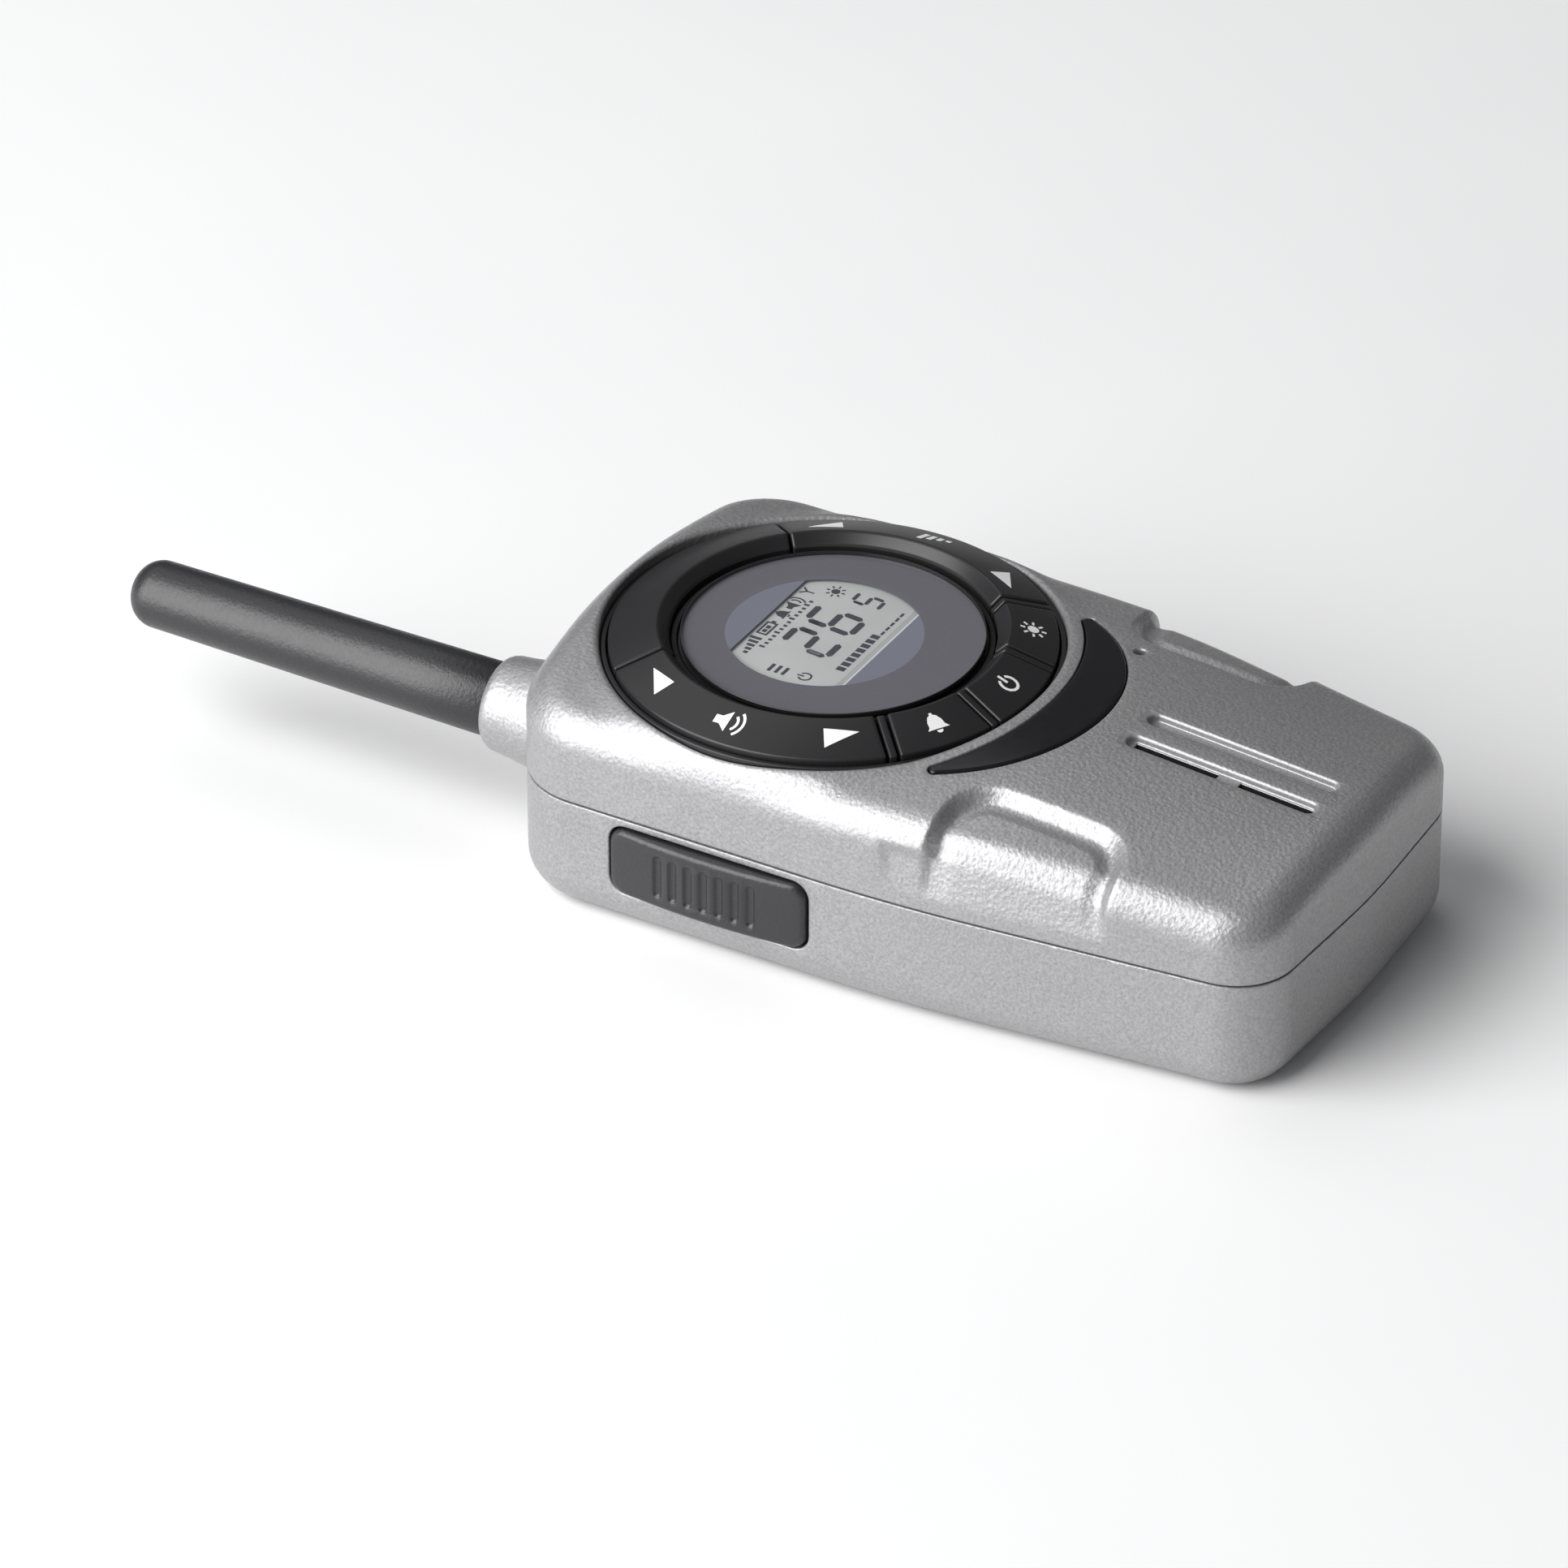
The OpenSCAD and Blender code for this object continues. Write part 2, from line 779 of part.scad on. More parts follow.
module lens_gasket() {
    color("black")
        translate([0, 0, ledge_z])
            difference() {
                cylinder(r = lens_r - loose, h = lens_z - lens_t - ledge_z);
                translate([0, 0, -1])
                    cylinder(r = lens_r - ledge_w + loose, h = 3);
            }
}

lcd_top = lens_z - lens_t - 0.3;

module lcd_glass() {
    color("#b9bcb8")
        translate([-lcd_w / 2, -lcd_h / 2, lcd_top - lcd_t])
            cube([lcd_w, lcd_h, lcd_t]);
}

module backlight() {
    foot = 1.2;
    h = lcd_top - lcd_t - board_top;
    color("white")
        difference() {
            translate([-lcd_w / 2, -lcd_h / 2, board_top])
                cube([lcd_w, lcd_h, h]);
            translate([-lcd_w / 2 + foot, -lcd_h / 2 - 1, board_top - 1])
                cube([lcd_w - 2 * foot, lcd_h + 2, h]);
        }
}

// Silicone sheet on the board, with a post under each plunger
module keypad_mat() {
    sheet_t = 0.8;
    post_top = plunger_z - key_travel - 0.3;
    color("#8b8f94") {
        intersection() {
            difference() {
                translate([0, 0, board_top])
                    cylinder(r = plunger_at_r + 3.5, h = sheet_t);
                cylinder(r = plunger_at_r - 3.5, h = far);
                translate([-whip_x - contact_w / 2 - loose, stud_end_y - contact_len - 2 * loose, 0])
                    cube([contact_w + 2 * loose, far, far]);
            }
            union() {
                wedge(148, 210);
                wedge(205, 270);
                wedge(265, 330);
                wedge(325, 392);
            }
        }
        for (a = [180 - plunger_a, 180 + plunger_a, -plunger_a, plunger_a, 240, 270, 300])
            plunger(a, plunger_r + 0.3, board_top + sheet_t - bond, post_top);
    }
}

// Printed board, cut away round the antenna stud
module main_board() {
    collar_room = collar_base_d / 2 + 0.3;
    nut_room = nut_r + 0.4;
    color("#1f5f3a")
        difference() {
            translate([0, 0, board_z])
                linear_extrude(board_t)
                    polygon(outline(board_in));
            translate([-whip_x - nut_room, stud_end_y - 1.2, 0])
                cube([2 * nut_room, far, far]);
            translate([-whip_x - collar_room, collar_in_y - 0.3, 0])
                cube([2 * collar_room, far, far]);
            at_screws()
                cylinder(d = screw_d + 0.4, h = far);
        }
}

module shield_can() {
    sheet = 0.3;
    color("silver")
        translate([-can_w / 2, -can_len / 2 + 1, board_z - can_h])
            difference() {
                cube([can_w, can_len, can_h]);
                translate([sheet, sheet, sheet])
                    cube([can_w - 2 * sheet, can_len - 2 * sheet, can_h]);
            }
}

module speaker_mesh() {
    color("#202022")
        at_speaker(loose + 0.4)
            cylinder(d = speaker_d + 0.6, h = 0.4);
}

// Shallow cone speaker with its magnet at the back
module speaker() {
    r = speaker_d / 2;
    rim = r / 10;
    magnet_r = r * 0.62;
    h = r * 0.35;
    color("#3a3a3d")
        at_speaker(loose + 0.5)
            rotate_extrude()
                polygon([
                    [0, -rim], [r - 3 * rim, -rim / 2], [r - 1.2 * rim, -rim / 2], [r - rim, 0], [r, 0],
                    [r, -h / 3], [magnet_r, -h / 2], [magnet_r, -h], [0, -h]
                ]);
}

module microphone() {
    r = 3;
    color("#4a4a4e")
        translate([mic_x, -mic_y, face_z([mic_x + r, -mic_y]) - wall - loose])
            mirror([0, 0, 1])
                difference() {
                    cylinder(r = r, h = 2.7);
                    translate([0, 0, -1])
                        cylinder(r = r - 0.7, h = 1.4);
                }
}

module crescent_plate() {
    color("#19181a")
        difference() {
            intersection() {
                front_body(-crescent_proud, split_z);
                linear_extrude(far)
                    crescent(0);
            }
            front_body(wall / 2, split_z - 1);
        }
}

flange = 0.8;
talk_in_x = -half_w + wall + 0.2;

// Crowned bar with a flange behind the wall and a nub to the switch
module talk_button() {
    crown_r = 90;
    color("#232226") {
        intersection() {
            side_slab(-half_w - talk_out, talk_in_x + flange, talk_len, talk_h, 1.75);
            translate([-half_w - talk_out + crown_r, 0, 0])
                cylinder(r = crown_r, h = far, $fn = 180);
        }
        side_slab(talk_in_x, talk_in_x + flange, talk_len + 2 * flange, talk_h + 1.2, 2);
        translate([talk_in_x + bond, 0, side_z])
            rotate([0, 90, 0])
                cylinder(r = 1.2, h = flange + 1.2);
    }
}

// Tall side switch under the board
module talk_switch() {
    x0 = talk_in_x + flange + 1.2 + talk_travel + 0.4;
    size = [4.6, 6, board_z - side_z + 2.2];
    color("#1c1c1e")
        translate([x0, -size.y / 2, board_z - size.z])
            cube(size);
}

module jack_socket() {
    x1 = half_w - cover_t - wall / 2 - 0.1;
    color("#1c1c1e")
        difference() {
            translate([x1 - socket_len, -socket_w / 2, side_z - socket_drop])
                cube([socket_len, socket_w, board_z - side_z + socket_drop]);
            translate([x1 - socket_len + 0.8, 0, side_z])
                rotate([0, 90, 0])
                    cylinder(r = jack_r, h = socket_len);
        }
}

// Rubber cover that swings about a bead at its head end
module jack_cover() {
    x0 = half_w - cover_t + 0.2;
    color("#232226") {
        difference() {
            side_slab(x0, half_w + 0.2, cover_len, cover_h, 0.5);
            translate([0, bead_y, 0])
                cube([far, far, far]);
        }
        translate([bead_x, bead_y, side_z - cover_h / 2])
            cylinder(r = bead_r, h = cover_h);
        translate([x0 - plug_len, 0, side_z])
            rotate([0, 90, 0])
                cylinder(r = jack_r - 0.3, h = plug_len + bond);
    }
}

// Rubber whip with its root in the collar
module antenna_sheath() {
    r = whip_tip_d / 2;
    tip_r = 3;
    base_y = collar_y - mouth_depth + 0.1;
    color("#2e2e30")
        difference() {
            whip_turn() {
                polygon([
                    [0, collar_in_y], [root_r, collar_in_y], [root_r, base_y], [whip_d / 2, base_y],
                    [r, tip_y - tip_r], [0, tip_y - tip_r]
                ]);
                translate([0, tip_y - tip_r - bond])
                    square([r - tip_r, tip_r + bond]);
                intersection() {
                    translate([r - tip_r, tip_y - tip_r])
                        circle(tip_r);
                    translate([0, tip_y - tip_r - bond])
                        square(far);
                }
            }
            whip_rod(stud_r + 0.05, 0, collar_y + 12);
        }
}

module antenna_core() {
    color("#b8963e")
        whip_rod(stud_r, stud_end_y, collar_y + 11.8);
}

module antenna_nut() {
    color("#b8963e")
        difference() {
            translate([-whip_x, collar_in_y - 2.6, whip_z])
                rotate([-90, 0, 0])
                    cylinder(r = nut_r, h = 2.5, $fn = 6);
            whip_rod(stud_r + 0.05, 0, far);
        }
}

// Leaf from the board to the end of the stud
module antenna_contact() {
    leaf = 0.4;
    color("#c9b27a") {
        translate([-whip_x - contact_w / 2, stud_end_y - loose - contact_len, board_top])
            cube([contact_w, contact_len, leaf]);
        translate([-whip_x - contact_w / 2, stud_end_y - loose - leaf, board_top])
            cube([contact_w, leaf, whip_z - board_top + 1]);
    }
}

// Door with side tongues and thumb ridges, shaped to the body at the foot
module battery_door() {
    ridge = 0.4;
    color(silver)
        difference() {
            intersection() {
                back_body(0, split_z);
                union() {
                    translate([-door_half_w, -far, -1])
                        cube([2 * door_half_w, far + door_head_y, 1 + door_t]);
                    translate([-door_half_w - tongue_w, bay_foot_y, tongue_z[0]])
                        cube([
                            2 * (door_half_w + tongue_w), door_head_y - 2 - bay_foot_y,
                            tongue_z[1] - tongue_z[0]
                        ]);
                }
            }
            for (i = [0:4])
                translate([-6, door_head_y - 4 - 1.6 * i, -1])
                    cube([12, 0.8, 1 + ridge]);
        }
}

// Cell with its button at the head end, or turned round
module battery_cell(i, turned) {
    r = cell_d / 2;
    button = [1.9, 0.8];
    mid_y = (bay_foot_y + bay_head_y) / 2;
    color("#5d6b78")
        translate([i * cell_pitch, mid_y, cell_z])
            rotate([turned ? 90 : -90, 0, 0])
                translate([0, 0, -cell_len / 2])
                    rotate_extrude()
                        polygon([
                            [0, 0], [r - 0.4, 0], [r, 0.4], [r, cell_len - button.y - 0.4],
                            [r - 0.4, cell_len - button.y], [button.x, cell_len - button.y],
                            [button.x, cell_len], [0, cell_len]
                        ]);
}

module battery_contacts() {
    leaf = 0.4;
    w = 7;
    color("#c8c8c4")
        for (i = [-1, 0, 1], y = [bay_foot_y + 0.05, bay_head_y - leaf - 0.05])
            translate([i * cell_pitch - w / 2, y, cell_z - w / 2])
                cube([w, leaf, w]);
}

module case_screws() {
    head_t = 1.3;
    color("#8d8d90")
        at_screws() {
            translate([0, 0, sink_depth - head_t])
                difference() {
                    cylinder(d = head_d, h = head_t);
                    for (a = [0, 90])
                        rotate([0, 0, a])
                            translate([-1, -0.25, -1])
                                cube([2, 0.5, 1.6]);
                }
            translate([0, 0, sink_depth - bond])
                cylinder(d = screw_d, h = board_top + 3 - sink_depth);
        }
}

front_case();
rear_case();
key_bezel();
volume_rocker();
channel_rocker();
call_key();
mode_key();
light_key();
display_lens();
lens_gasket();
lcd_glass();
backlight();
keypad_mat();
main_board();
shield_can();
speaker();
speaker_mesh();
microphone();
crescent_plate();
talk_button();
talk_switch();
jack_socket();
jack_cover();
antenna_sheath();
antenna_core();
antenna_nut();
antenna_contact();
battery_door();
battery_cell(-1, false);  // battery_cell_1
battery_cell(0, true);  // battery_cell_2
battery_cell(1, false);  // battery_cell_3
battery_contacts();
case_screws();
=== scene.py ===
import math

import bmesh
import bpy
import numpy as np
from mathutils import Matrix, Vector
from mathutils.geometry import delaunay_2d_cdt


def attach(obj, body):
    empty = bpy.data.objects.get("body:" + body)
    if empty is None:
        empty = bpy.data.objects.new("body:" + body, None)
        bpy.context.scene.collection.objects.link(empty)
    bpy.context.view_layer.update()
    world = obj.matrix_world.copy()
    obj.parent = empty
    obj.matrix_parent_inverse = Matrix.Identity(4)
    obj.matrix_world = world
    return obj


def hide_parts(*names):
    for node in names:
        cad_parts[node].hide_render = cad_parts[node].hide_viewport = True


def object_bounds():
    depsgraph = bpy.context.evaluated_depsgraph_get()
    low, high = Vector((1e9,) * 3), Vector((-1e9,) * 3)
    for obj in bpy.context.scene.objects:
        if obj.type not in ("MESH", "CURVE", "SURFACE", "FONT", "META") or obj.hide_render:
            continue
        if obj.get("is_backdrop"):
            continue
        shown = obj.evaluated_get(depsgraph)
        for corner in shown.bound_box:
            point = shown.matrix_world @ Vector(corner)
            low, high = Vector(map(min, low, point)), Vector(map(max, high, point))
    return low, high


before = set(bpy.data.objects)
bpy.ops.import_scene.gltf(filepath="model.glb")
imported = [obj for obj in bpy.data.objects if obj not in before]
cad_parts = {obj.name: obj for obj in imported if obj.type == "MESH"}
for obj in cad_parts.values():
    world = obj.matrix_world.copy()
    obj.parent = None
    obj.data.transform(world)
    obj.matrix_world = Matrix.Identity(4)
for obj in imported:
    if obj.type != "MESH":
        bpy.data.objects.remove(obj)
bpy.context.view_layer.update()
scene = bpy.context.scene
scene.view_settings.view_transform = "Standard"


# Camera: it looks from the radio's left and foot, 33 degrees up, from a little over a metre away.
# The long lens fills the frame with the radio and keeps the flat perspective of that distance.
aim, distance = Vector((-0.0068, 0.0022, 0.010)), 1.124
azimuth, elevation = math.radians(300), math.radians(33)
across = math.cos(elevation)
towards = Vector((math.sin(azimuth) * across, -math.cos(azimuth) * across, math.sin(elevation)))
camera = bpy.data.objects.new("camera", bpy.data.cameras.new("camera"))
camera.location = aim + towards * distance
camera.rotation_euler = towards.to_track_quat("Z", "Y").to_euler()
camera.data.lens = 240
scene.collection.objects.link(camera)
scene.camera = camera


# Studio: a pale paper floor under the flat back, a tall soft box on the radio's left towards its head, a weaker
# one past the antenna and an even surround, together at the level where colours render as written.
class Tone:
    """A socket of a material's nodes that is used like a number: an operator adds its Math node."""

    def __init__(self, tree, socket=None):
        self.tree, self.socket = tree, socket

    def node(self, kind, settings=None, inputs=None, out=0):
        made = self.tree.nodes.new("ShaderNode" + kind)
        for key, value in (settings or {}).items():
            setattr(made, key, value)
        for key, value in (inputs or {}).items():
            if isinstance(value, Tone):
                self.tree.links.new(value.socket, made.inputs[key])
            else:
                made.inputs[key].default_value = value
        return Tone(self.tree, made.outputs[out])

    def maths(self, operation, *values):
        return self.node("Math", {"operation": operation}, dict(enumerate(values)))

    def __add__(self, other):
        return self.maths("ADD", self, other)

    def __sub__(self, other):
        return self.maths("SUBTRACT", self, other)

    def __rsub__(self, other):
        return self.maths("SUBTRACT", other, self)

    def __mul__(self, other):
        return self.maths("MULTIPLY", self, other)

    __radd__, __rmul__ = __add__, __mul__

    def step(self, low, high):
        """0 below low, 1 above high, with a soft ramp between."""
        ramp = {"Value": self, "From Min": low, "From Max": high}
        return self.node("MapRange", {"interpolation_type": "SMOOTHSTEP"}, ramp)

    def size(self):
        """Absolute value."""
        return self.maths("ABSOLUTE", self)

    def part(self, axis):
        """One part of a vector: 0, 1 or 2."""
        return self.node("SeparateXYZ", None, {0: self}, axis)

    def times(self, x, y, z):
        """A vector with each of its parts multiplied."""
        return self.node("VectorMath", {"operation": "MULTIPLY"}, {0: self, 1: (x, y, z)})

    def away(self, x, y):
        """Distance in plan from a point."""
        return self.node("VectorMath", {"operation": "DISTANCE"}, {0: self.times(1, 1, 0), 1: (x, y, 0)}, 1)

    def mix(self, first, second):
        """Colour between two, with this value as the share of the second. Each is three numbers or a socket."""
        pair = [colour if isinstance(colour, Tone) else (*colour, 1) for colour in (first, second)]
        return self.node("Mix", {"data_type": "RGBA"}, {0: self, 6: pair[0], 7: pair[1]}, 2)


def finish(name, dress, **fixed):
    """Material whose fixed numbers go on the shader's sockets and whose varying ones come from dress()."""
    made = bpy.data.materials.new(name)
    made.use_nodes = True
    tree = made.node_tree
    shader = tree.nodes["Principled BSDF"]
    for key, value in fixed.items():
        shader.inputs[key.replace("_", " ")].default_value = value
    start = Tone(tree)
    at = start.node("VectorMath", {"operation": "SCALE"}, {0: start.node("TexCoord", out=3), "Scale": 1000})
    for key, value in dress(at).items():
        tree.links.new(value.socket, shader.inputs[key.replace("_", " ")])
    return made


def noise(at, size, detail=2.0, rough=0.5):
    """Cloudy value from 0 to 1 with patches of about this many millimetres."""
    return at.node("TexNoise", None, {"Vector": at, "Scale": 1 / size, "Detail": detail, "Roughness": rough})


def bump(at, height, strength, depth):
    """Normal that stands up by depth millimetres where height is 1."""
    return at.node("Bump", None, {"Strength": strength, "Distance": depth * 0.001, "Height": height})


def paper(at):
    return {
        "Base_Color": noise(at, 60).mix((0.86, 0.86, 0.865), (0.90, 0.90, 0.90)),
        "Normal": bump(at, noise(at, 0.6), 0.1, 0.05),
    }


floor_mesh = bpy.data.meshes.new("floor")
floor_mesh.from_pydata([(-2.5, -2.5, 0), (2.5, -2.5, 0), (2.5, 2.5, 0), (-2.5, 2.5, 0)], [], [(0, 1, 2, 3)])
floor = bpy.data.objects.new("floor", floor_mesh)
floor.location.z = -0.0001
scene.collection.objects.link(floor)
floor_mesh.materials.append(finish("paper", paper, Roughness=0.7))
floor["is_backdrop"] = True

for name, place, width, height, power in (
    ("key_light", (-0.72, 0.47, 0.56), 1.0, 1.35, 23.5),
    ("head_light", (0.30, 0.50, 0.85), 0.7, 0.6, 1.3),
):
    lamp = bpy.data.objects.new(name, bpy.data.lights.new(name, "AREA"))
    lamp.data.shape = "RECTANGLE"
    lamp.data.size, lamp.data.size_y, lamp.data.energy = width, height, power
    lamp.location = place
    lamp.rotation_euler = (Vector(place) - aim).to_track_quat("Z", "Y").to_euler()
    scene.collection.objects.link(lamp)
scene.world = bpy.data.worlds.new("surround")
scene.world.use_nodes = True
surround = scene.world.node_tree.nodes["Background"].inputs
surround["Color"].default_value = (0.95, 0.97, 1.0, 1)
surround["Strength"].default_value = 0.16


# Rear shell: the lower half of the housing, moulded in plastic with a fine leather grain and painted
# metallic silver. It carries the battery bay, the side openings, the belt clip slot and the antenna collar.
half_w, half_foot, head_y, foot_y = 26.75, 22.5, 27.5, 65.2
head_arch, foot_arch, taper_y = 2.6, 1.2, 22.0
head_bow, foot_bow, waist_r, head_corner, foot_corner = 120, 100, 200, 9, 7


def unit(vector):
    return vector / np.linalg.norm(vector)


def turned(point, angle):
    """A point in plan, turned about the origin."""
    c, s = math.cos(angle), math.sin(angle)
    return np.array([point[0] * c - point[1] * s, point[0] * s + point[1] * c])


def outline(inset, count=520):
    """Evenly spaced points of the body's outline, from the middle of the foot round the right side."""
    head = head_y + head_bow * (math.hypot(half_w, head_arch) / half_w - 1)
    foot = foot_y + foot_bow * (math.hypot(half_foot, foot_arch) / half_foot - 1)
    right = [(0, -foot), (half_foot, foot_arch - foot), (half_w, -taper_y), (half_w, head - head_arch), (0, head)]
    ring = np.array(right + [(-x, y) for x, y in right[-2:0:-1]])
    radii = [foot_bow, foot_corner, waist_r, head_corner, head_bow, head_corner, waist_r, foot_corner]
    line = []
    for i, radius in enumerate(radii):
        corner = ring[i]
        u, v = unit(ring[i - 1] - corner), unit(ring[(i + 1) % len(ring)] - corner)
        half = math.acos(u @ v) / 2
        middle = corner + unit(u + v) * radius / math.sin(half)
        first = corner + u * radius / math.tan(half) - middle
        for t in np.linspace(0, math.pi - 2 * half, 25):
            line.append(middle + turned(first, t) * (radius - inset) / radius)
    line = np.roll(np.array(line), -12, axis=0)
    line = np.vstack([line, line[:1]])
    run = np.concatenate([[0], np.cumsum(np.linalg.norm(np.diff(line, axis=0), axis=1))])
    where = np.linspace(0, run[-1], count, endpoint=False)
    return np.stack([np.interp(where, run, line[:, k]) for k in (0, 1)], 1)


def inside(points, ring):
    """Which of the points lie in a closed ring."""
    x, y = points[:, 0][:, None], points[:, 1][:, None]
    x0, y0 = ring[:, 0], ring[:, 1]
    x1, y1 = np.roll(x0, -1), np.roll(y0, -1)
    crosses = (y0 > y) != (y1 > y)
    with np.errstate(divide="ignore", invalid="ignore"):
        left = x < x0 + (y - y0) * (x1 - x0) / (y1 - y0)
    return (crosses & left).sum(1) % 2 == 1


class Pattern:
    """Points of a skin laid flat, each with its place in space. Closed rows of points shape the facets."""

    def __init__(self):
        self.flat, self.place, self.edges, self.open, self.faces = [], [], [], [], []
        self.rim = None

    def add(self, flat, place):
        start = len(self.flat)
        self.flat += [tuple(p) for p in flat]
        self.place += [tuple(p) for p in place]
        return list(range(start, len(self.flat)))

    def within(self, flat):
        """Which of the points lie on the skin and in none of its openings."""
        keep = inside(flat, self.rim)
        for ring in self.open:
            keep &= ~inside(flat, ring)
        return keep

    def row(self, flat, place, opening=False, rim=False):
        ids = self.add(flat, place)
        self.edges += list(zip(ids, ids[1:] + ids[:1]))
        if opening:
            self.open.append(np.array(flat))
        if rim:
            self.rim = np.array(flat)
        return ids

    def edging(self, ring, place, rows, opening=False, rim=False):
        """Rows of points along an edge, from pairs of how far ring() is grown and how deep place() sets it.
        The last row may bound an opening, or the first one the skin. Returns the rim's row or the last one."""
        made = [
            self.row(*place(ring(grow), sink), opening=opening and i == len(rows) - 1, rim=rim and i == 0)
            for i, (grow, sink) in enumerate(rows)
        ]
        return made[0 if rim else -1]

    def fill(self, flat, place, clear):
        """Points on the skin that are clear of those before them."""
        taken, keep = np.array(self.flat), self.within(flat)
        for part in range(0, len(flat), 500):
            near = ((flat[part : part + 500, None] - taken[None]) ** 2).sum(2).min(1)
            keep[part : part + 500] &= near > clear * clear
        self.add(flat[keep], place[keep])

    def facets(self, flip=False):
        """Triangles between all the points, without those in the openings."""
        found = delaunay_2d_cdt([Vector(p) for p in self.flat], self.edges, [], 0, 1e-5)
        back = [first[0] for first in found[3]]
        faces = np.array([[back[i] for i in face] for face in found[2]])
        faces = faces[self.within(np.array(self.flat)[faces].mean(1))]
        self.faces = [tuple(f[::-1]) if flip else tuple(f) for f in faces.tolist()]

    def spots(self, ids):
        """Places of a row of points."""
        return np.array([self.place[i] for i in ids])

    def wall(self, ids, shift, flip=False):
        """Strip from a row of points to the same row moved by shift."""
        new = self.add([(1e3, 1e3)] * len(ids), self.spots(ids) + np.array(shift))
        for a, b, c, d in zip(ids, ids[1:] + ids[:1], new[1:] + new[:1], new):
            self.faces.append((d, c, b, a) if flip else (a, b, c, d))
        return new

    def pocket(self, ids, shift, flip=False):
        """A wall that ends in a closed floor."""
        self.faces.append(tuple(self.wall(ids, shift, flip)))

    def mesh(self):
        return self.place, self.faces


class Skin:
    """Outer skin of a shell: a face, an edge of radius r round it and a side wall,
    which unroll to one flat layout."""

    def __init__(self, r, top, up):
        self.r, self.top, self.up = r, top, up
        self.base = outline(r)
        along = np.roll(self.base, -1, axis=0) - np.roll(self.base, 1, axis=0)
        along /= np.linalg.norm(along, axis=1)[:, None]
        self.out = np.stack([along[:, 1], -along[:, 0]], 1)
        right = (self.base[:, 0] > 10) & (abs(self.out[:, 1]) < 0.7)
        order = np.argsort(self.base[right, 1])
        self.side = np.c_[self.base[right], self.out[right]][order]

    def beside(self, y):
        """Where the face's edge lies on the right side at y, and the two parts of the way out from it."""
        return [np.interp(y, self.side[:, 1], self.side[:, k]) for k in (0, 2, 3)]

    def over(self, base, out, reach, sink=0.0):
        """Layout and place of points that lie reach beyond the face's edge, sunk along the surface's normal."""
        reach = np.asarray(reach, float)
        turn = np.clip(reach / self.r, 0, math.pi / 2)
        spot = base + out * (self.r * np.sin(turn))[:, None]
        drop = self.r * (1 - np.cos(turn)) + np.maximum(reach - self.r * math.pi / 2, 0)
        z = self.top(spot) - self.up * drop
        normal = np.c_[out * np.sin(turn)[:, None], self.up * np.cos(turn)]
        return base + out * reach[:, None], np.c_[spot, z] - normal * np.reshape(sink, (-1, 1))

    def plan(self, points, sink=0.0):
        """Layout and place of points given in plan, sunk towards the middle of the body."""
        points = np.array(points, float)
        nearest = ((points[:, None] - self.base[None]) ** 2).sum(2).argmin(1)
        beyond = ((points - self.base[nearest]) * self.out[nearest]).sum(1)
        reach = self.r * np.arcsin(np.clip(beyond / self.r, 0, 1))
        flat = points + self.out[nearest] * np.maximum(reach - np.maximum(beyond, 0), 0)[:, None]
        z = self.top(points) - self.up * (self.r * (1 - np.cos(reach / self.r)) + sink)
        return flat, np.c_[points, z]

    def girth(self, y, z):
        """Length from the middle over the edge to height z on the right side wall."""
        x, out, _ = self.beside(y)
        drop = self.up * (self.top(np.c_[x + self.r * out, y]) - z)
        turn = np.arccos(np.clip(1 - drop / self.r, 0, 1))
        return x + self.r * turn + np.maximum(drop - self.r, 0)

    def flank(self, points, side, sink=0.0):
        """Layout and place of (girth, y) points on the right side (1) or the left (-1)."""
        girth, y = np.array(points, float).T
        x, _, lean = self.beside(y)
        reach = girth - x
        foot = y - lean * self.r * np.sin(np.clip(reach / self.r, 0, math.pi / 2))
        edge, out_x, out_y = self.beside(foot)
        flat, place = self.over(np.c_[edge, foot], np.c_[out_x, out_y], reach, sink)
        face = reach <= 0
        flat[face] = np.c_[girth, y][face]
        z = self.top(flat[face]) - self.up * np.broadcast_to(np.reshape(sink, (-1,)), len(girth))[face]
        place[face] = np.c_[flat[face], z]
        return flat * (side, 1.0), place * (side, 1.0, 1.0)

    def round(self, reach, sink=0.0):
        """Layout and place of a row of points all round the skin."""
        return self.over(self.base, self.out, reach, sink)

    def rows(self, pattern, seam, spacing, hem):
        """Gives a pattern its rim at the seam and a row close by. Returns the rim, and the rows above to fill."""
        quarter = self.r * math.pi / 2
        tall = self.up * (self.top(self.base + self.out * self.r) - seam) - self.r
        reaches = [np.full(len(self.base), self.r * turn) for turn in np.linspace(0, math.pi / 2, 9)]
        count = max(2, int(tall.max() / spacing))
        reaches += [quarter + tall * t for t in np.linspace(0, 1, count, endpoint=False)[1:]]
        rim = pattern.row(*self.round(quarter + tall), rim=True)
        pattern.row(*self.round(quarter + tall - hem))
        return rim, [(self.round(reach), reach) for reach in reaches]

    def tuck(self, pattern, ids, steps, flip=False):
        """Walls that turn the lower edge inwards, from pairs of a step inwards and one in height."""
        for inwards, rise in steps:
            ids = pattern.wall(ids, np.c_[-inwards * self.out, np.full(len(self.out), rise)], flip)


def band(points, spacing):
    """Closed ring through corner points, filled in so that no gap is wider than spacing."""
    ring = []
    for a, b in zip(points, points[1:] + points[:1]):
        a, b = np.array(a, float), np.array(b, float)
        parts = max(1, math.ceil(np.linalg.norm(b - a) / spacing))
        ring += [a + (b - a) * t for t in np.arange(parts) / parts]
    return np.array(ring)


def arc(x, y, r, start, stop, count):
    """Points on a circle between two angles in degrees."""
    return [(x + r * math.cos(a), y + r * math.sin(a)) for a in np.radians(np.linspace(start, stop, count))]


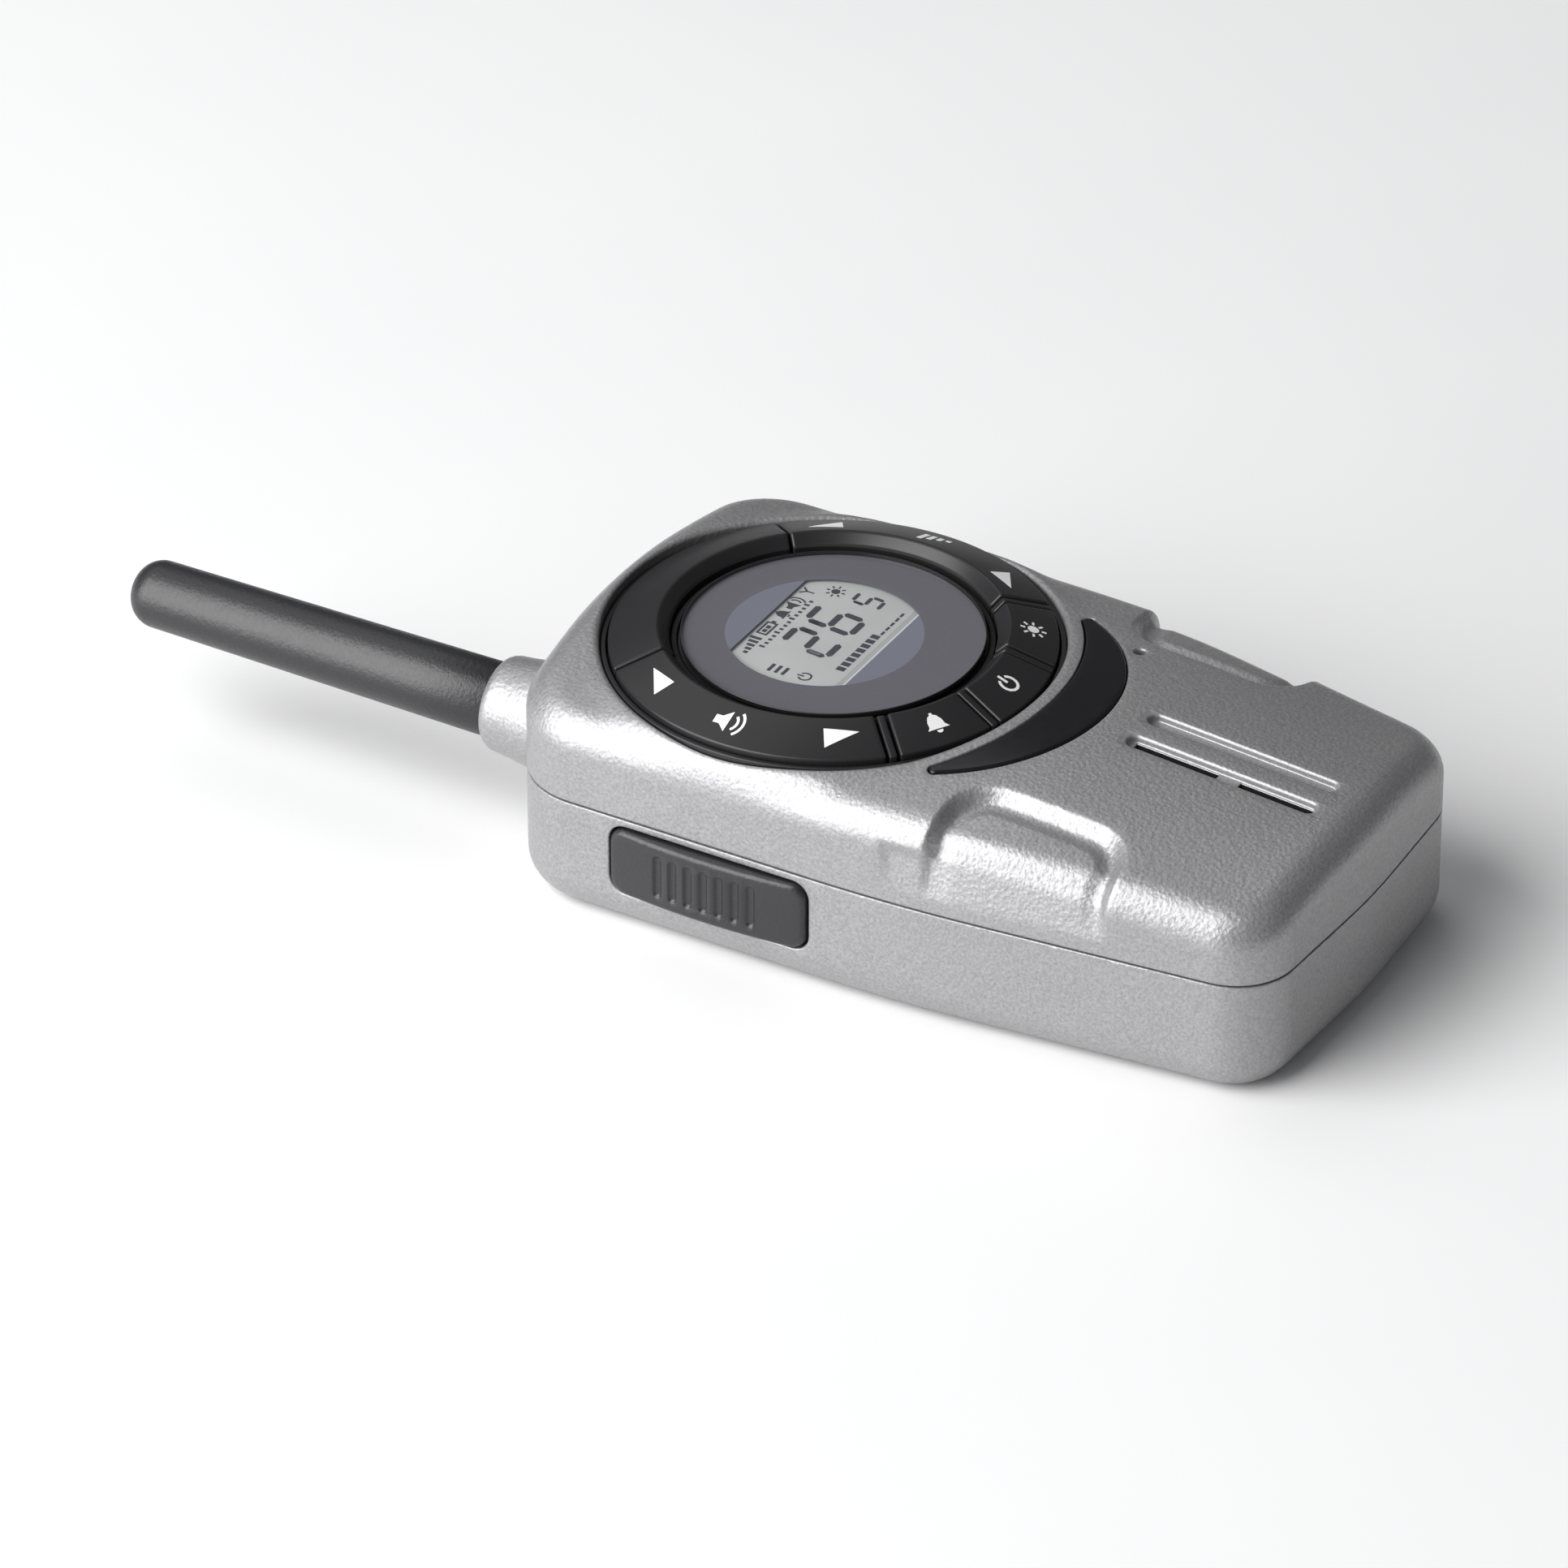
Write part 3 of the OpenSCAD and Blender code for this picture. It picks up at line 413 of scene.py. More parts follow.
def soft_box(x0, x1, y0, y1, r, spacing=0.4, fixed=False):
    """Outline of a rectangle as it is grown. Its round corners grow too, or stay fixed."""
    def ring(o):
        bend = r if fixed else r + o
        left, right, low, high = x0 - o + bend, x1 + o - bend, y0 - o + bend, y1 + o - bend
        corners = ((right, low, -90), (right, high, 0), (left, high, 90), (left, low, 180))
        return band([spot for x, y, a in corners for spot in arc(x, y, bend, a, a + 90, 7)], spacing)
    return ring


def circle(x, y, r, count):
    """Ring of evenly spaced points."""
    turn = np.linspace(0, 2 * math.pi, count, endpoint=False)
    return np.c_[x + r * np.cos(turn), y + r * np.sin(turn)]


def piece(name, parts, body, material, stands_for=None, solid=False):
    """Mesh object from points in millimetres and facets, which rides a body and may stand for a CAD node."""
    verts, faces = parts
    mesh = bpy.data.meshes.new(name)
    mesh.from_pydata([tuple(c * 0.001 for c in v) for v in verts], [], [[int(i) for i in f] for f in faces])
    work = bmesh.new()
    work.from_mesh(mesh)
    bmesh.ops.delete(work, geom=[v for v in work.verts if not v.link_faces], context="VERTS")
    bmesh.ops.remove_doubles(work, verts=work.verts, dist=1e-6)
    if solid:
        bmesh.ops.recalc_face_normals(work, faces=work.faces)
    work.to_mesh(mesh)
    work.free()
    mesh.shade_smooth()
    mesh.set_sharp_from_angle(angle=math.radians(38))
    mesh.materials.append(material)
    made = bpy.data.objects.new(name, mesh)
    scene.collection.objects.link(made)
    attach(made, body)
    if stands_for:
        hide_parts(stands_for)


groove_x, groove_y = 2.4, -48.3


def silver_look(at):
    cells = {"Vector": at, "Scale": 2.0, "Smoothness": 0.6, "Randomness": 1.0}
    grain = at.node("TexVoronoi", {"feature": "SMOOTH_F1"}, cells)
    fine = noise(at, 0.24, 3.0)
    flake = noise(at, 0.34, 3.0, 0.7)
    strip = (at.part(0).size() - groove_x).size().step(1.0, 1.3)
    smooth = (1 - strip) * (1 - (at.part(1) - groove_y).size().step(11.6, 12.2))
    height = (grain * 0.7 + fine * 0.55) * (1 - smooth)
    shade = 0.25 * noise(at, 14) + 0.75 * flake.step(0.25, 0.75)
    return {
        "Base_Color": shade.mix((0.262, 0.258, 0.264), (0.42, 0.415, 0.422)),
        "Roughness": 0.36 + 0.13 * fine,
        "Normal": bump(at, height, 0.8, 0.08),
    }


silver = finish("silver_paint", silver_look, Metallic=0.62, Coat_Weight=0.12, Coat_Roughness=0.25)


def strips(rows, count):
    """Facets between closed rows of points."""
    return [
        (j * count + i, j * count + (i + 1) % count, (j + 1) * count + (i + 1) % count, (j + 1) * count + i)
        for j in range(rows - 1) for i in range(count)
    ]


def lathe(profile, place, count=96):
    """Points and facets of a profile of (radius, height) turned about an axis."""
    turn = np.linspace(0, 2 * math.pi, count, endpoint=False)
    verts = [place(r * math.cos(a), r * math.sin(a), h) for r, h in profile for a in turn]
    return verts, strips(len(profile), count)


def joined(*parts):
    """One list of points and one of facets from several."""
    verts, faces = [], []
    for more, facets in parts:
        faces += [tuple(i + len(verts) for i in f) for f in facets]
        verts += [tuple(v) for v in more]
    return verts, faces


def rounded(points, radii, steps):
    """Open line through points whose inner corners are rounded."""
    line = [points[0]]
    for before, corner, after, r in zip(points, points[1:], points[2:], radii):
        before, corner, after = map(np.array, (before, corner, after))
        u, v = unit(before - corner), unit(after - corner)
        reach = r / math.tan(math.acos(np.clip(u @ v, -1, 1)) / 2)
        a, b = corner + u * reach, corner + v * reach
        for t in np.linspace(0, 1, steps):
            line.append(tuple((1 - t) ** 2 * a + 2 * t * (1 - t) * corner + t * t * b))
    return line + [points[-1]]


rear_edge, rear_seam, side_z = 4.0, 13.78, 8.8
rear = Skin(rear_edge, lambda p: np.zeros(len(p)), -1)
back = Pattern()
rear_rim, rear_rows = rear.rows(back, rear_seam, 1.5, 0.2)
fine_lip = [(0.24, 0), (0.1, 0.03), (0.03, 0.1), (0, 0.2)]


def side_ring(y0, y1, height, r):
    """Outline, on the right side wall, of an opening about the side controls' height."""
    box = soft_box(y0, y1, side_z - height / 2, side_z + height / 2, r)

    def ring(o):
        y, z = box(o).T
        return np.c_[rear.girth(y, z), y]
    return ring


talk_ring, cover_ring = side_ring(-12.25, 12.25, 8.5, 2.0), side_ring(-7.25, 7.95, 7.5, 0.6)
talk_lip = back.edging(talk_ring, lambda p, sink: rear.flank(p, -1, sink), fine_lip, opening=True)
cover_lip = back.edging(cover_ring, lambda p, sink: rear.flank(p, 1, sink), fine_lip, opening=True)
screw_spots = [(21.6, 15.8), (-21.6, 15.8), (20.85, -24), (-20.85, -24)]
screw_r, screw_sink = 2.1, 1.7
screw_lips = [
    back.edging(lambda o: circle(x, y, screw_r + o, 40), rear.plan, fine_lip, opening=True)
    for x, y in screw_spots
]
slot_neck, slot_mouth, slot_foot, slot_step, slot_head = 5, 6.8, 2, 15, 20


def clip_ring(o):
    """Outline of the belt clip slot, with its wide mouth towards the head."""
    n, w, foot, step, head = slot_neck + o, slot_mouth + o, slot_foot - o, slot_step - o, slot_head + o
    return band([(-n, foot), (n, foot), (n, step), (w, step), (w, head), (-w, head), (-w, step), (-n, step)], 0.5)


def door_ring(o, half=17.5, head=-14.7, height=1.8):
    """Outline of the battery door's opening, which runs out through the foot's edge."""
    inset = rear_edge - rear_edge * math.sin(math.acos(1 - (height + o) / rear_edge))
    wide, head = half + o, head + o
    foot = outline(inset, 1040)
    foot = foot[(foot[:, 1] < -40) & (abs(foot[:, 0]) < wide - 0.05)]
    foot = foot[np.argsort(foot[:, 0])]
    end = np.interp(wide, foot[:, 0], foot[:, 1])
    return band([(-wide, end), *map(tuple, foot[::2]), (wide, end), (wide, head), (-wide, head)], 0.6)


def staggered(across, along, ring):
    """Points inside a ring, in rows that are set off by turns."""
    rows = enumerate(np.arange(*along))
    points = np.array([(x + 0.5 * (j % 2), y) for j, y in rows for x in np.arange(*across)])
    return points[inside(points, ring)]


clip_lip = back.edging(clip_ring, rear.plan, fine_lip, opening=True)
door_lip = back.edging(door_ring, rear.plan, [(0.12, 0), (0, 0.06)], opening=True)
for (flat, place), reach in rear_rows:
    back.fill(flat, place, 0.35)
back.fill(*rear.plan(staggered((-24, 25, 1.3), (-62, 26, 1.2), rear.base)), 0.5)
back.facets(flip=True)

rear.tuck(back, rear_rim, [(0.05, 0.09), (0.12, 0.03), (1.6, 0)])
back.wall(talk_lip, (1.6, 0, 0))
back.wall(cover_lip, (-1.15, 0, 0))
for (x, y), ids in zip(screw_spots, screw_lips):
    sunk = back.wall(ids, (0, 0, screw_sink), flip=True)
    back.wall(sunk, (np.array([x, y, 0]) - back.spots(sunk)) * (0.5, 0.5, 0), flip=True)
neck = back.wall(clip_lip, (0, 0, 1.2), flip=True)
ring = back.spots(neck)
undercut = np.where(ring[:, 1] < slot_step - 0.1, ring[:, 0] * (slot_mouth / slot_neck - 1), 0)
under = back.wall(neck, np.outer(undercut, (1, 0, 0)), flip=True)
back.pocket(under, (0, 0, 1.8), flip=True)
ledge_z, bay_half, bay_foot, bay_head, bay_depth = 1.8, 16.5, -61.6, -15.1, 11.1
ledge = back.wall(door_lip, (ledge_z - back.spots(door_lip)) * (0, 0, 1), flip=True)
ring = back.spots(ledge)
bay_ring = np.clip(ring, (-bay_half, bay_foot, -np.inf), (bay_half, bay_head, np.inf))
bay = back.wall(ledge, bay_ring - ring, flip=True)
back.pocket(bay, (0, 0, bay_depth), flip=True)


def standing(points, x):
    """Layout and place of (y, z) points that stand at a distance x from the middle."""
    return points, np.c_[np.broadcast_to(x, len(points)), points]


socket_floor, socket_x = Pattern(), 25.42
socket_floor.row(*standing(rear.flank(cover_ring(0), 1, 1.35)[1][:, 1:], socket_x), rim=True)
bore = socket_floor.row(*standing(circle(0, side_z, 2.4, 48), socket_x), opening=True)
socket_floor.facets()
socket_floor.wall(bore, (-1.2, 0, 0))
whip_x, whip_z = -16.5, 16.5


def on_whip(x, z, y):
    return whip_x + x, y, whip_z + z


collar_line = [
    (6.1, 22.5), (6.1, 24.6), (6.02, 25.6), (5.86, 26.8), (5.66, 28.2), (5.5, 29.4), (5.4, 30.4), (5.36, 30.8),
    (5.24, 31.2), (5.05, 31.52), (4.83, 31.7), (4.66, 31.7), (4.6, 31.6), (4.6, 30.4), (3.4, 30.4),
]
piece("rear_shell", joined(back.mesh(), socket_floor.mesh(), lathe(collar_line, on_whip)),
      "housing", silver, "rear_case")


# Front shell: the upper half, moulded and painted as the rear one. Its crowned face falls to the foot, and the
# lip of the round well swells up to the key ring. U-shaped channels round two sunk thumb pads run out on the
# side walls, and two grooves lie over the speaker.
crown_z, fall_y, fall_slope = 26.5, -33, math.tan(math.radians(4.6))


def face_z(p):
    """Height of the face: crowned from side to side, and falling softly towards the foot."""
    u = fall_y - p[:, 1]
    fall = fall_slope * (np.hypot(u, 5) + u) / 2
    return crown_z - fall - (1.5 + 0.4 * fall) * (p[:, 0] / 20) ** 2


front_seam = 14.25
front = Skin(3.5, face_z, 1)
face = Pattern()
front_rim, front_rows = front.rows(face, front_seam, 1.2, 0.12)
well_r, ring_edge_z = 25.1, 25.4
well_rows = [(0.75, 0), (0.48, 0.04), (0.26, 0.13), (0.1, 0.28), (0.02, 0.48), (0, 0.65)]


def ease(t):
    """Soft step from 0 to 1."""
    t = np.clip(t, 0, 1)
    return t * t * (3 - 2 * t)


def swell(p):
    """How far the face rises to the well, so that its lip keeps up with the ring towards the sides."""
    r = np.maximum(np.hypot(p[:, 0], p[:, 1]), 1)
    short = np.maximum(ring_edge_z - front.plan(p * (well_r / r)[:, None])[1][:, 2], 0)
    level = 1 - (face_z(p) - front.plan(p)[1][:, 2]) / front.r
    gain, reach, width = 0.72, 28.3, 2.6
    return gain * short * ease((reach - r) / width) * level


def at_well(points, sink):
    return front.plan(points, sink - swell(points))


well_lip = face.edging(lambda o: circle(0, 0, well_r + o, 300), at_well, well_rows, opening=True)


def crescent_ring(grow):
    """Outline of the crescent below the ring, grown all round."""
    inner_r, outer_r, centre, half_turn = 27, 19.5, 13.5, 37.5
    angle = math.radians(half_turn)
    b = centre * math.cos(angle)
    far = b + math.sqrt(b * b - centre * centre + outer_r * outer_r)
    tip, tip_r = (inner_r + far) / 2, (far - inner_r) / 2 + grow
    lean, spare = half_turn - 90, math.degrees(0.2)
    bend = arc(tip * math.sin(angle), -tip * math.cos(angle), tip_r, lean + 180 - spare, lean + spare, 9)
    end = math.degrees(math.atan2(-far * math.cos(angle) + centre, far * math.sin(angle)))
    inner = arc(0, 0, inner_r - grow, -90 - half_turn, half_turn - 90, 90)
    outer = arc(0, -centre, outer_r + grow, end, -180 - end, 90)
    return np.array(inner + bend + outer + [(-x, y) for x, y in bend[::-1]])


crescent_gap, crescent_rows = 0.15, [(0.22, 0), (0.08, 0.03), (0, 0.14)]
crescent_lip = face.edging(lambda o: crescent_ring(crescent_gap + o), front.plan, crescent_rows, opening=True)
groove_half, groove_len, groove_sink = 1.0, 11.2, 0.8
groove_rows = [
    (0.3, 0), (0.14, 0.03), (0.04, 0.12), (-0.02, 0.32), (-0.06, 0.6), (-0.12, 0.74), (-0.2, groove_sink)]
groove_floors = []
for x in (-groove_x, groove_x):
    groove = soft_box(x - groove_half, x + groove_half, groove_y - groove_len, groove_y + groove_len,
                      groove_half - 0.02, 0.35)
    face.edging(groove, front.plan, groove_rows)
    groove_floors.append(groove(groove_rows[-1][0]))
slit_rows = [(0.05, groove_sink), (0, groove_sink + 0.08)]
slit_lips = [
    face.edging(soft_box(-2.5, -1.72, y0, y1, 0.1), front.plan, slit_rows, opening=True)
    for y0, y1 in ((-58.9, -50.3), (-47.7, -37.9))
]
mic_rows = [(0.3, 0), (0.14, 0.04), (0.04, 0.14), (0, 0.3)]
mic_lip = face.edging(lambda o: circle(13.9, -29.8, 0.65 + o, 32), front.plan, mic_rows, opening=True)
grip_sink, pad_least, pad_lean, pad_start, pad_width = 1.5, 0.95, 0.33, 18.6, 3.6


def pad_sink(girth):
    """Depth of a thumb pad, which leans outwards."""
    return pad_least + pad_lean * np.clip((girth - pad_start) / pad_width, 0, 1)


def grip_ring(o):
    """Outline, on the right side, of a U-shaped channel that runs over the edge, with the recess above it.
    The third number tells how far a point belongs to the pad that the channel encloses."""
    top, low, into, wide, r = -25.8 + o, -46.3 - o, 16.5 - o, 2.8 + 2 * o, 5.0 + o
    pad_top, pad_low, pad_in, pad_r = top - wide, low + wide, into + wide, max(2.2 - o, 0.4)
    recess, recess_z, wall_z = -20.8 + o, 21.2, 15.0

    def at(y, z, more, pad):
        return float(front.girth(np.array([y]), z)[0]) + more, y, pad

    def bend(x, y, radius, start, stop, pad):
        return [(*spot, pad) for spot in arc(x, y, radius, start, stop, 9)]

    return band([
        at(recess, wall_z, o, 0), at(recess, recess_z, -o, 0), at(top, recess_z, -o, 0),
        *bend(into + r, top - r, r, 90, 180, 0), *bend(into + r, low + r, r, 180, 270, 0),
        at(low, wall_z, o, 0), at(pad_low, wall_z, o, 1),
        *bend(pad_in + pad_r, pad_low + pad_r, pad_r, 270, 180, 1),
        *bend(pad_in + pad_r, pad_top - pad_r, pad_r, 180, 90, 1), at(pad_top, wall_z, o, 1),
    ], 0.4)


def grip_share(y, z):
    """Share of a grip's depth: it runs out on the side wall and is less in the recess."""
    fade_z, fade_tall, recess_y, recess_loss = 15.8, 5.6, -26.2, 0.6
    return np.clip((z - fade_z) / fade_tall, 0, 1) * (1 - recess_loss * ease((y - recess_y) / 0.8))


grip_rows = [
    (0.5, 0), (0.3, 0.03), (0.1, 0.12), (-0.12, 0.28), (-0.36, 0.5), (-0.62, 0.73), (-0.9, 0.91), (-1.2, 1.0)]
for side in (1, -1):
    for o, share in grip_rows:
        ring = grip_ring(o)
        height = front.flank(ring[:, :2], side)[1][:, 2]
        sink = grip_sink * share + pad_sink(ring[:, 0]) * (1 - share) * ring[:, 2]
        face.row(*front.flank(ring[:, :2], side, sink * grip_share(ring[:, 1], height)))
grip_edge, grip_floor = grip_ring(grip_rows[0][0]), grip_ring(grip_rows[-1][0])[:, :2]
grip_pad = grip_edge[grip_edge[:, 2] == 1, :2]
grip_edge = grip_edge[:, :2]


def grip_depth(girth, y):
    """Depth of a grip at a place on the side: 0 outside it, none on the walls of its channel."""
    spot = np.c_[girth, y]
    outside = np.where(inside(spot, grip_edge), np.nan, 0)
    return np.where(inside(spot, grip_floor), grip_sink, np.where(inside(spot, grip_pad), pad_sink(girth), outside))


def head_wall(points, sink):
    """Layout and place of (x, z) points on the head end, sunk towards the foot.
    The loop finds the place on the face's edge that each of them lies straight out from."""
    ahead = np.flatnonzero((front.out[:, 1] > 0.25) & (front.base[:, 1] > 5))
    ahead = ahead[np.argsort(front.base[ahead, 0])]
    base, out = front.base[ahead], front.out[ahead]
    x, z = np.array(points).T
    foot, swing = x, np.full(len(x), front.r)
    for _ in range(80):
        edge, out_x, out_y = (np.interp(foot, base[:, 0], line) for line in (base[:, 1], out[:, 0], out[:, 1]))
        b, n = np.c_[foot, edge], np.c_[out_x, out_y]
        drop = front.top(b + n * swing[:, None]) - z
        reach = front.r * np.arccos(np.maximum(1 - drop / front.r, 0)) + np.maximum(drop - front.r, 0)
        swing = front.r * np.sin(np.minimum(reach / front.r, math.pi / 2))
        foot = x - out_x * swing
    flat, place = front.over(b, n, reach)
    return flat, place - (0, sink, 0)


cut_r, cut_sink = 6.2, 2.2


def collar_ring(o, low):
    """Outline, on the head end, of the round cut that the antenna collar leaves through."""
    r = cut_r + o
    start = math.degrees(math.asin((low - whip_z) / r))
    bow = arc(whip_x, whip_z, r, start, 180 - start, 70)
    chord = np.linspace(bow[-1][0], bow[0][0], 16)[1:-1]
    return bow + [(x, low) for x in chord]


for o, low, sink in (
    (0.4, 14.42, 0), (0.2, 14.46, 0.03), (0.06, 14.5, 0.14), (-0.02, 14.54, 0.5), (-0.08, 14.6, cut_sink),
):
    cut_floor, place = head_wall(collar_ring(o, low), sink)
    face.row(cut_floor, place)

for (flat, place), reach in front_rows:
    x, y, z = place.T
    girth = front.beside(y)[0] + reach
    beside = (abs(x) > 10) & (y < -15) & (y > -55)
    sunk = np.where(beside, grip_depth(girth, y), 0) * grip_share(y, z)
    shaped = front.round(reach, sunk)[1]
    shaped[:, 2] += swell(place[:, :2])
    shaped -= np.outer(inside(flat, cut_floor), (0, cut_sink, 0))
    clear = ~np.isnan(sunk)
    face.fill(flat[clear], shaped[clear], 0.3)
grid = staggered((-24, 25, 1.0), (-63, 26, 0.9), front.base)
depth = sum(groove_sink * inside(grid, ring) for ring in groove_floors)
depth = depth + grip_depth(abs(grid[:, 0]), grid[:, 1]) - swell(grid)
clear = ~np.isnan(depth)
face.fill(*front.plan(grid[clear], depth[clear]), 0.35)
face.facets()

front.tuck(face, front_rim, [(0.05, -0.11), (0.15, -0.04), (1.4, 0)], flip=True)
for ids, deep in ((well_lip, 3.0), (crescent_lip, 0.8), (mic_lip, 1.4)):
    face.wall(ids, (0, 0, -deep))
piece("front_shell", face.mesh(), "housing", silver, "front_case")


# Slit lining: the paint stops at the groove's floor, so the walls of the two sound slits show the bare
# black plastic of the shell, down to the cloth over the speaker.
def mottled(patch, first, second, rough, more, grain, rise=None):
    """Look of a plain finish: cloudy between two colours, with a fine grain that changes its gloss.
    The grain may also stand up by rise, a bump's strength and depth."""
    def look(at):
        fine = noise(at, *grain)
        dress = {"Base_Color": noise(at, patch).mix(first, second), "Roughness": rough + more * fine}
        return {**dress, "Normal": bump(at, fine, *rise)} if rise else dress
    return look


dark_look = mottled(3, (0.010, 0.010, 0.011), (0.022, 0.022, 0.024), 0.5, 0.15, [0.25], (0.2, 0.03))
dark = finish("black_plastic", dark_look)
lining = Pattern()
for ids in slit_lips:
    top = face.spots(ids)
    lining.wall(lining.row(top[:, :2], top), (0, 0, -1.1))
piece("slit_lining", lining.mesh(), "housing", dark)


# Key ring frame: one black moulding that sits in the well, with the rim round the keys, the fixed segment at
# the antenna side, ribs between the push keys and the barrel that the window is pressed into.
def charcoal_look(at):
    grain = noise(at, 0.16, 2.0)
    # Painted shade: inside r 17.75 mm the barrel and the keys' inner walls are near black and rougher, for the dark
    # gap round the window.
    deep = 1 - at.away(0, 0).step(17.75, 17.9)
    skin = noise(at, 9).mix((0.011, 0.0105, 0.0115), (0.018, 0.017, 0.0185))
    return {
        "Base_Color": deep.mix(skin, (0.003, 0.003, 0.003)),
        "Roughness": 0.29 + 0.12 * grain + 0.4 * deep,
        "Normal": bump(at, grain, 0.25, 0.02),
    }


charcoal = finish("charcoal_plastic", charcoal_look, Specular_IOR_Level=0.45)
key_out, key_in, key_low, key_high, barrel_r = 24.2, 18.9, 25.6, 27.5, 17.6
ring_line = rounded(
    [(key_out, 23.6), (key_out, key_low), (key_in, key_high), (barrel_r, 26.2), (barrel_r, 24.4)],
    [0.28, 0.5, 0.1], 7)


def key_cap(start, stop, line=ring_line, edge=0.26):
    """Sector of the ring between two cuts, given as (angle, offset) so that the gaps beside it run parallel."""
    line = np.array(line)
    along = np.gradient(line, axis=0)
    along /= np.linalg.norm(along, axis=1)[:, None]
    inward = np.c_[-along[:, 1], along[:, 0]]
    bend = np.radians(np.linspace(0, 90, 5))
    span = stop[0] - start[0]
    columns = [(0, edge * (1 - math.cos(t)), edge * (1 - math.sin(t))) for t in bend]
    columns += [(f, 0, 0) for f in np.linspace(0, 1, max(int(span / 1.5), 1) + 1)[1:-1]]
    columns += [(1, -edge * (1 - math.cos(t)), edge * (1 - math.sin(t))) for t in bend[::-1]]
    verts, count = [], len(line)
    for share, step, inset in columns:
        r, z = (line + inward * inset).T
        first = math.radians(start[0]) + np.arcsin(start[1] / r)
        last = math.radians(stop[0]) + np.arcsin(stop[1] / r)
        a = first + (last - first) * share + step / r
        verts += list(zip(r * np.cos(a), r * np.sin(a), z))
    faces = strips(len(columns), count)
    faces += [tuple(range(count)), tuple(range(len(verts) - 1, len(verts) - 1 - count, -1))]
    return verts, faces


def upright(x, y, z):
    return x, y, z


frame_line = rounded(
    [(15.5, 21.6), (25.0, 21.6), (25.0, 24.95), (24.4, 24.95), (24.4, 22.6), (17.4, 22.6), (17.4, 25.6),
     (16.8, 25.6), (16.8, 25.1), (15.5, 25.1), (15.5, 21.6)],
    [0.05, 0.14, 0.1, 0.1, 0.1, 0.1, 0.1, 0.05, 0.05], 4)
rib_line = [(r, z - 0.1) for r, z in ring_line]
ribs = [key_cap((a, -0.45), (a, 0.45), rib_line, 0.2) for a in (225, 255, 285, 315)]
piece("ring_frame", joined(lathe(frame_line, upright, 192), key_cap((45, 0), (135, 0)), *ribs),
      "housing", charcoal, "key_bezel", solid=True)


# Keys: two rockers at the sides and three push keys at the foot side, moulded in the same charcoal plastic.
# Their signs are printed in white: arrows on the rockers, and a plain pictogram on each key.
white_ink = finish("white_ink", mottled(0.3, (0.78, 0.78, 0.78), (0.88, 0.88, 0.88), 0.45, 0.15, [0.2]))
sign_r = 21.4


def on_ring(shape, angle):
    """A sign's (right, up) points at an angle on the ring, with up towards its centre."""
    a, points = math.radians(angle), np.array(shape)
    up = np.array([-math.cos(a), -math.sin(a)])
    right = np.array([up[1], -up[0]])
    return -up * sign_r + points[:, :1] * right + points[:, 1:] * up


def arc_band(x, y, r0, r1, a0, a1, count=14):
    """Ring of a curved stroke."""
    return arc(x, y, r1, a0, a1, count) + arc(x, y, r0, a1, a0, count)


def slab(x0, x1, y0, y1):
    return [(x0, y0), (x1, y0), (x1, y1), (x0, y1)]


def lying(points, z):
    """Layout and place of points in plan that lie at a height z."""
    return points, np.c_[points, np.broadcast_to(z, len(points))]


def lattice(across, along):
    """Points of a square grid."""
    return np.array([(x, y) for x in np.arange(*across) for y in np.arange(*along)])


def prints(shapes, height, thick=0.03, spacing=0.3):
    """Thin raised print: closed rings in plan, laid on the surface that height(points) gives."""
    parts = []
    for shape in shapes:
        ring = band([tuple(p) for p in shape], spacing)
        lay = Pattern()
        ids = lay.row(*lying(ring, height(ring) + thick), rim=True)
        spots = lattice(*((low, high, spacing * 1.5) for low, high in zip(ring.min(0), ring.max(0))))
        lay.fill(*lying(spots, height(spots) + thick), spacing * 0.6)
        lay.facets()
        lay.wall(ids, (0, 0, -2 * thick))
        parts.append(lay.mesh())
    return joined(*parts)


def on_keys(p):
    """Height of the keys' sloping top."""
    return key_high - (np.hypot(p[:, 0], p[:, 1]) - key_in) * (key_high - key_low) / (key_out - key_in)


arrow = [[(-1.85, -1.2), (1.9, 0.7), (-1.85, 1.2)]]
arrow_back = [[(-x, y) for x, y in arrow[0]][::-1]]
speaker_sign = [[(-2.2, -0.5), (-1.45, -0.5), (-0.5, -1.3), (-0.5, 1.3), (-1.45, 0.5), (-2.2, 0.5)],
                arc_band(-0.6, 0, 0.95, 1.25, -50, 50), arc_band(-0.6, 0, 1.65, 1.95, -50, 50)]
bars_sign = [slab(x, x + 0.6, -1.1, -1.1 + h) for x, h in ((-2.0, 0.6), (-1.1, 1.1), (-0.2, 1.65), (0.7, 2.2))]
bell_sign = [[(-1.3, -0.75), (1.3, -0.75), (0.95, -0.35), (0.85, 0.3), (0.55, 0.85), (0.18, 1.05), (0.15, 1.3),
              (-0.15, 1.3), (-0.18, 1.05), (-0.55, 0.85), (-0.85, 0.3), (-0.95, -0.35)],
             arc_band(0, -0.92, 0.0, 0.36, 180, 360, 8)[:9]]
power_sign = [arc_band(0, -0.05, 0.82, 1.14, 122, 418, 26), slab(-0.16, 0.16, 0.1, 1.3)]
sun_sign = [circle(0, 0, 0.62, 24).tolist()] + [
    [tuple(turned(p, a)) for p in slab(0.88, 1.4, -0.13, 0.13)] for a in np.radians(np.arange(0, 360, 45))]

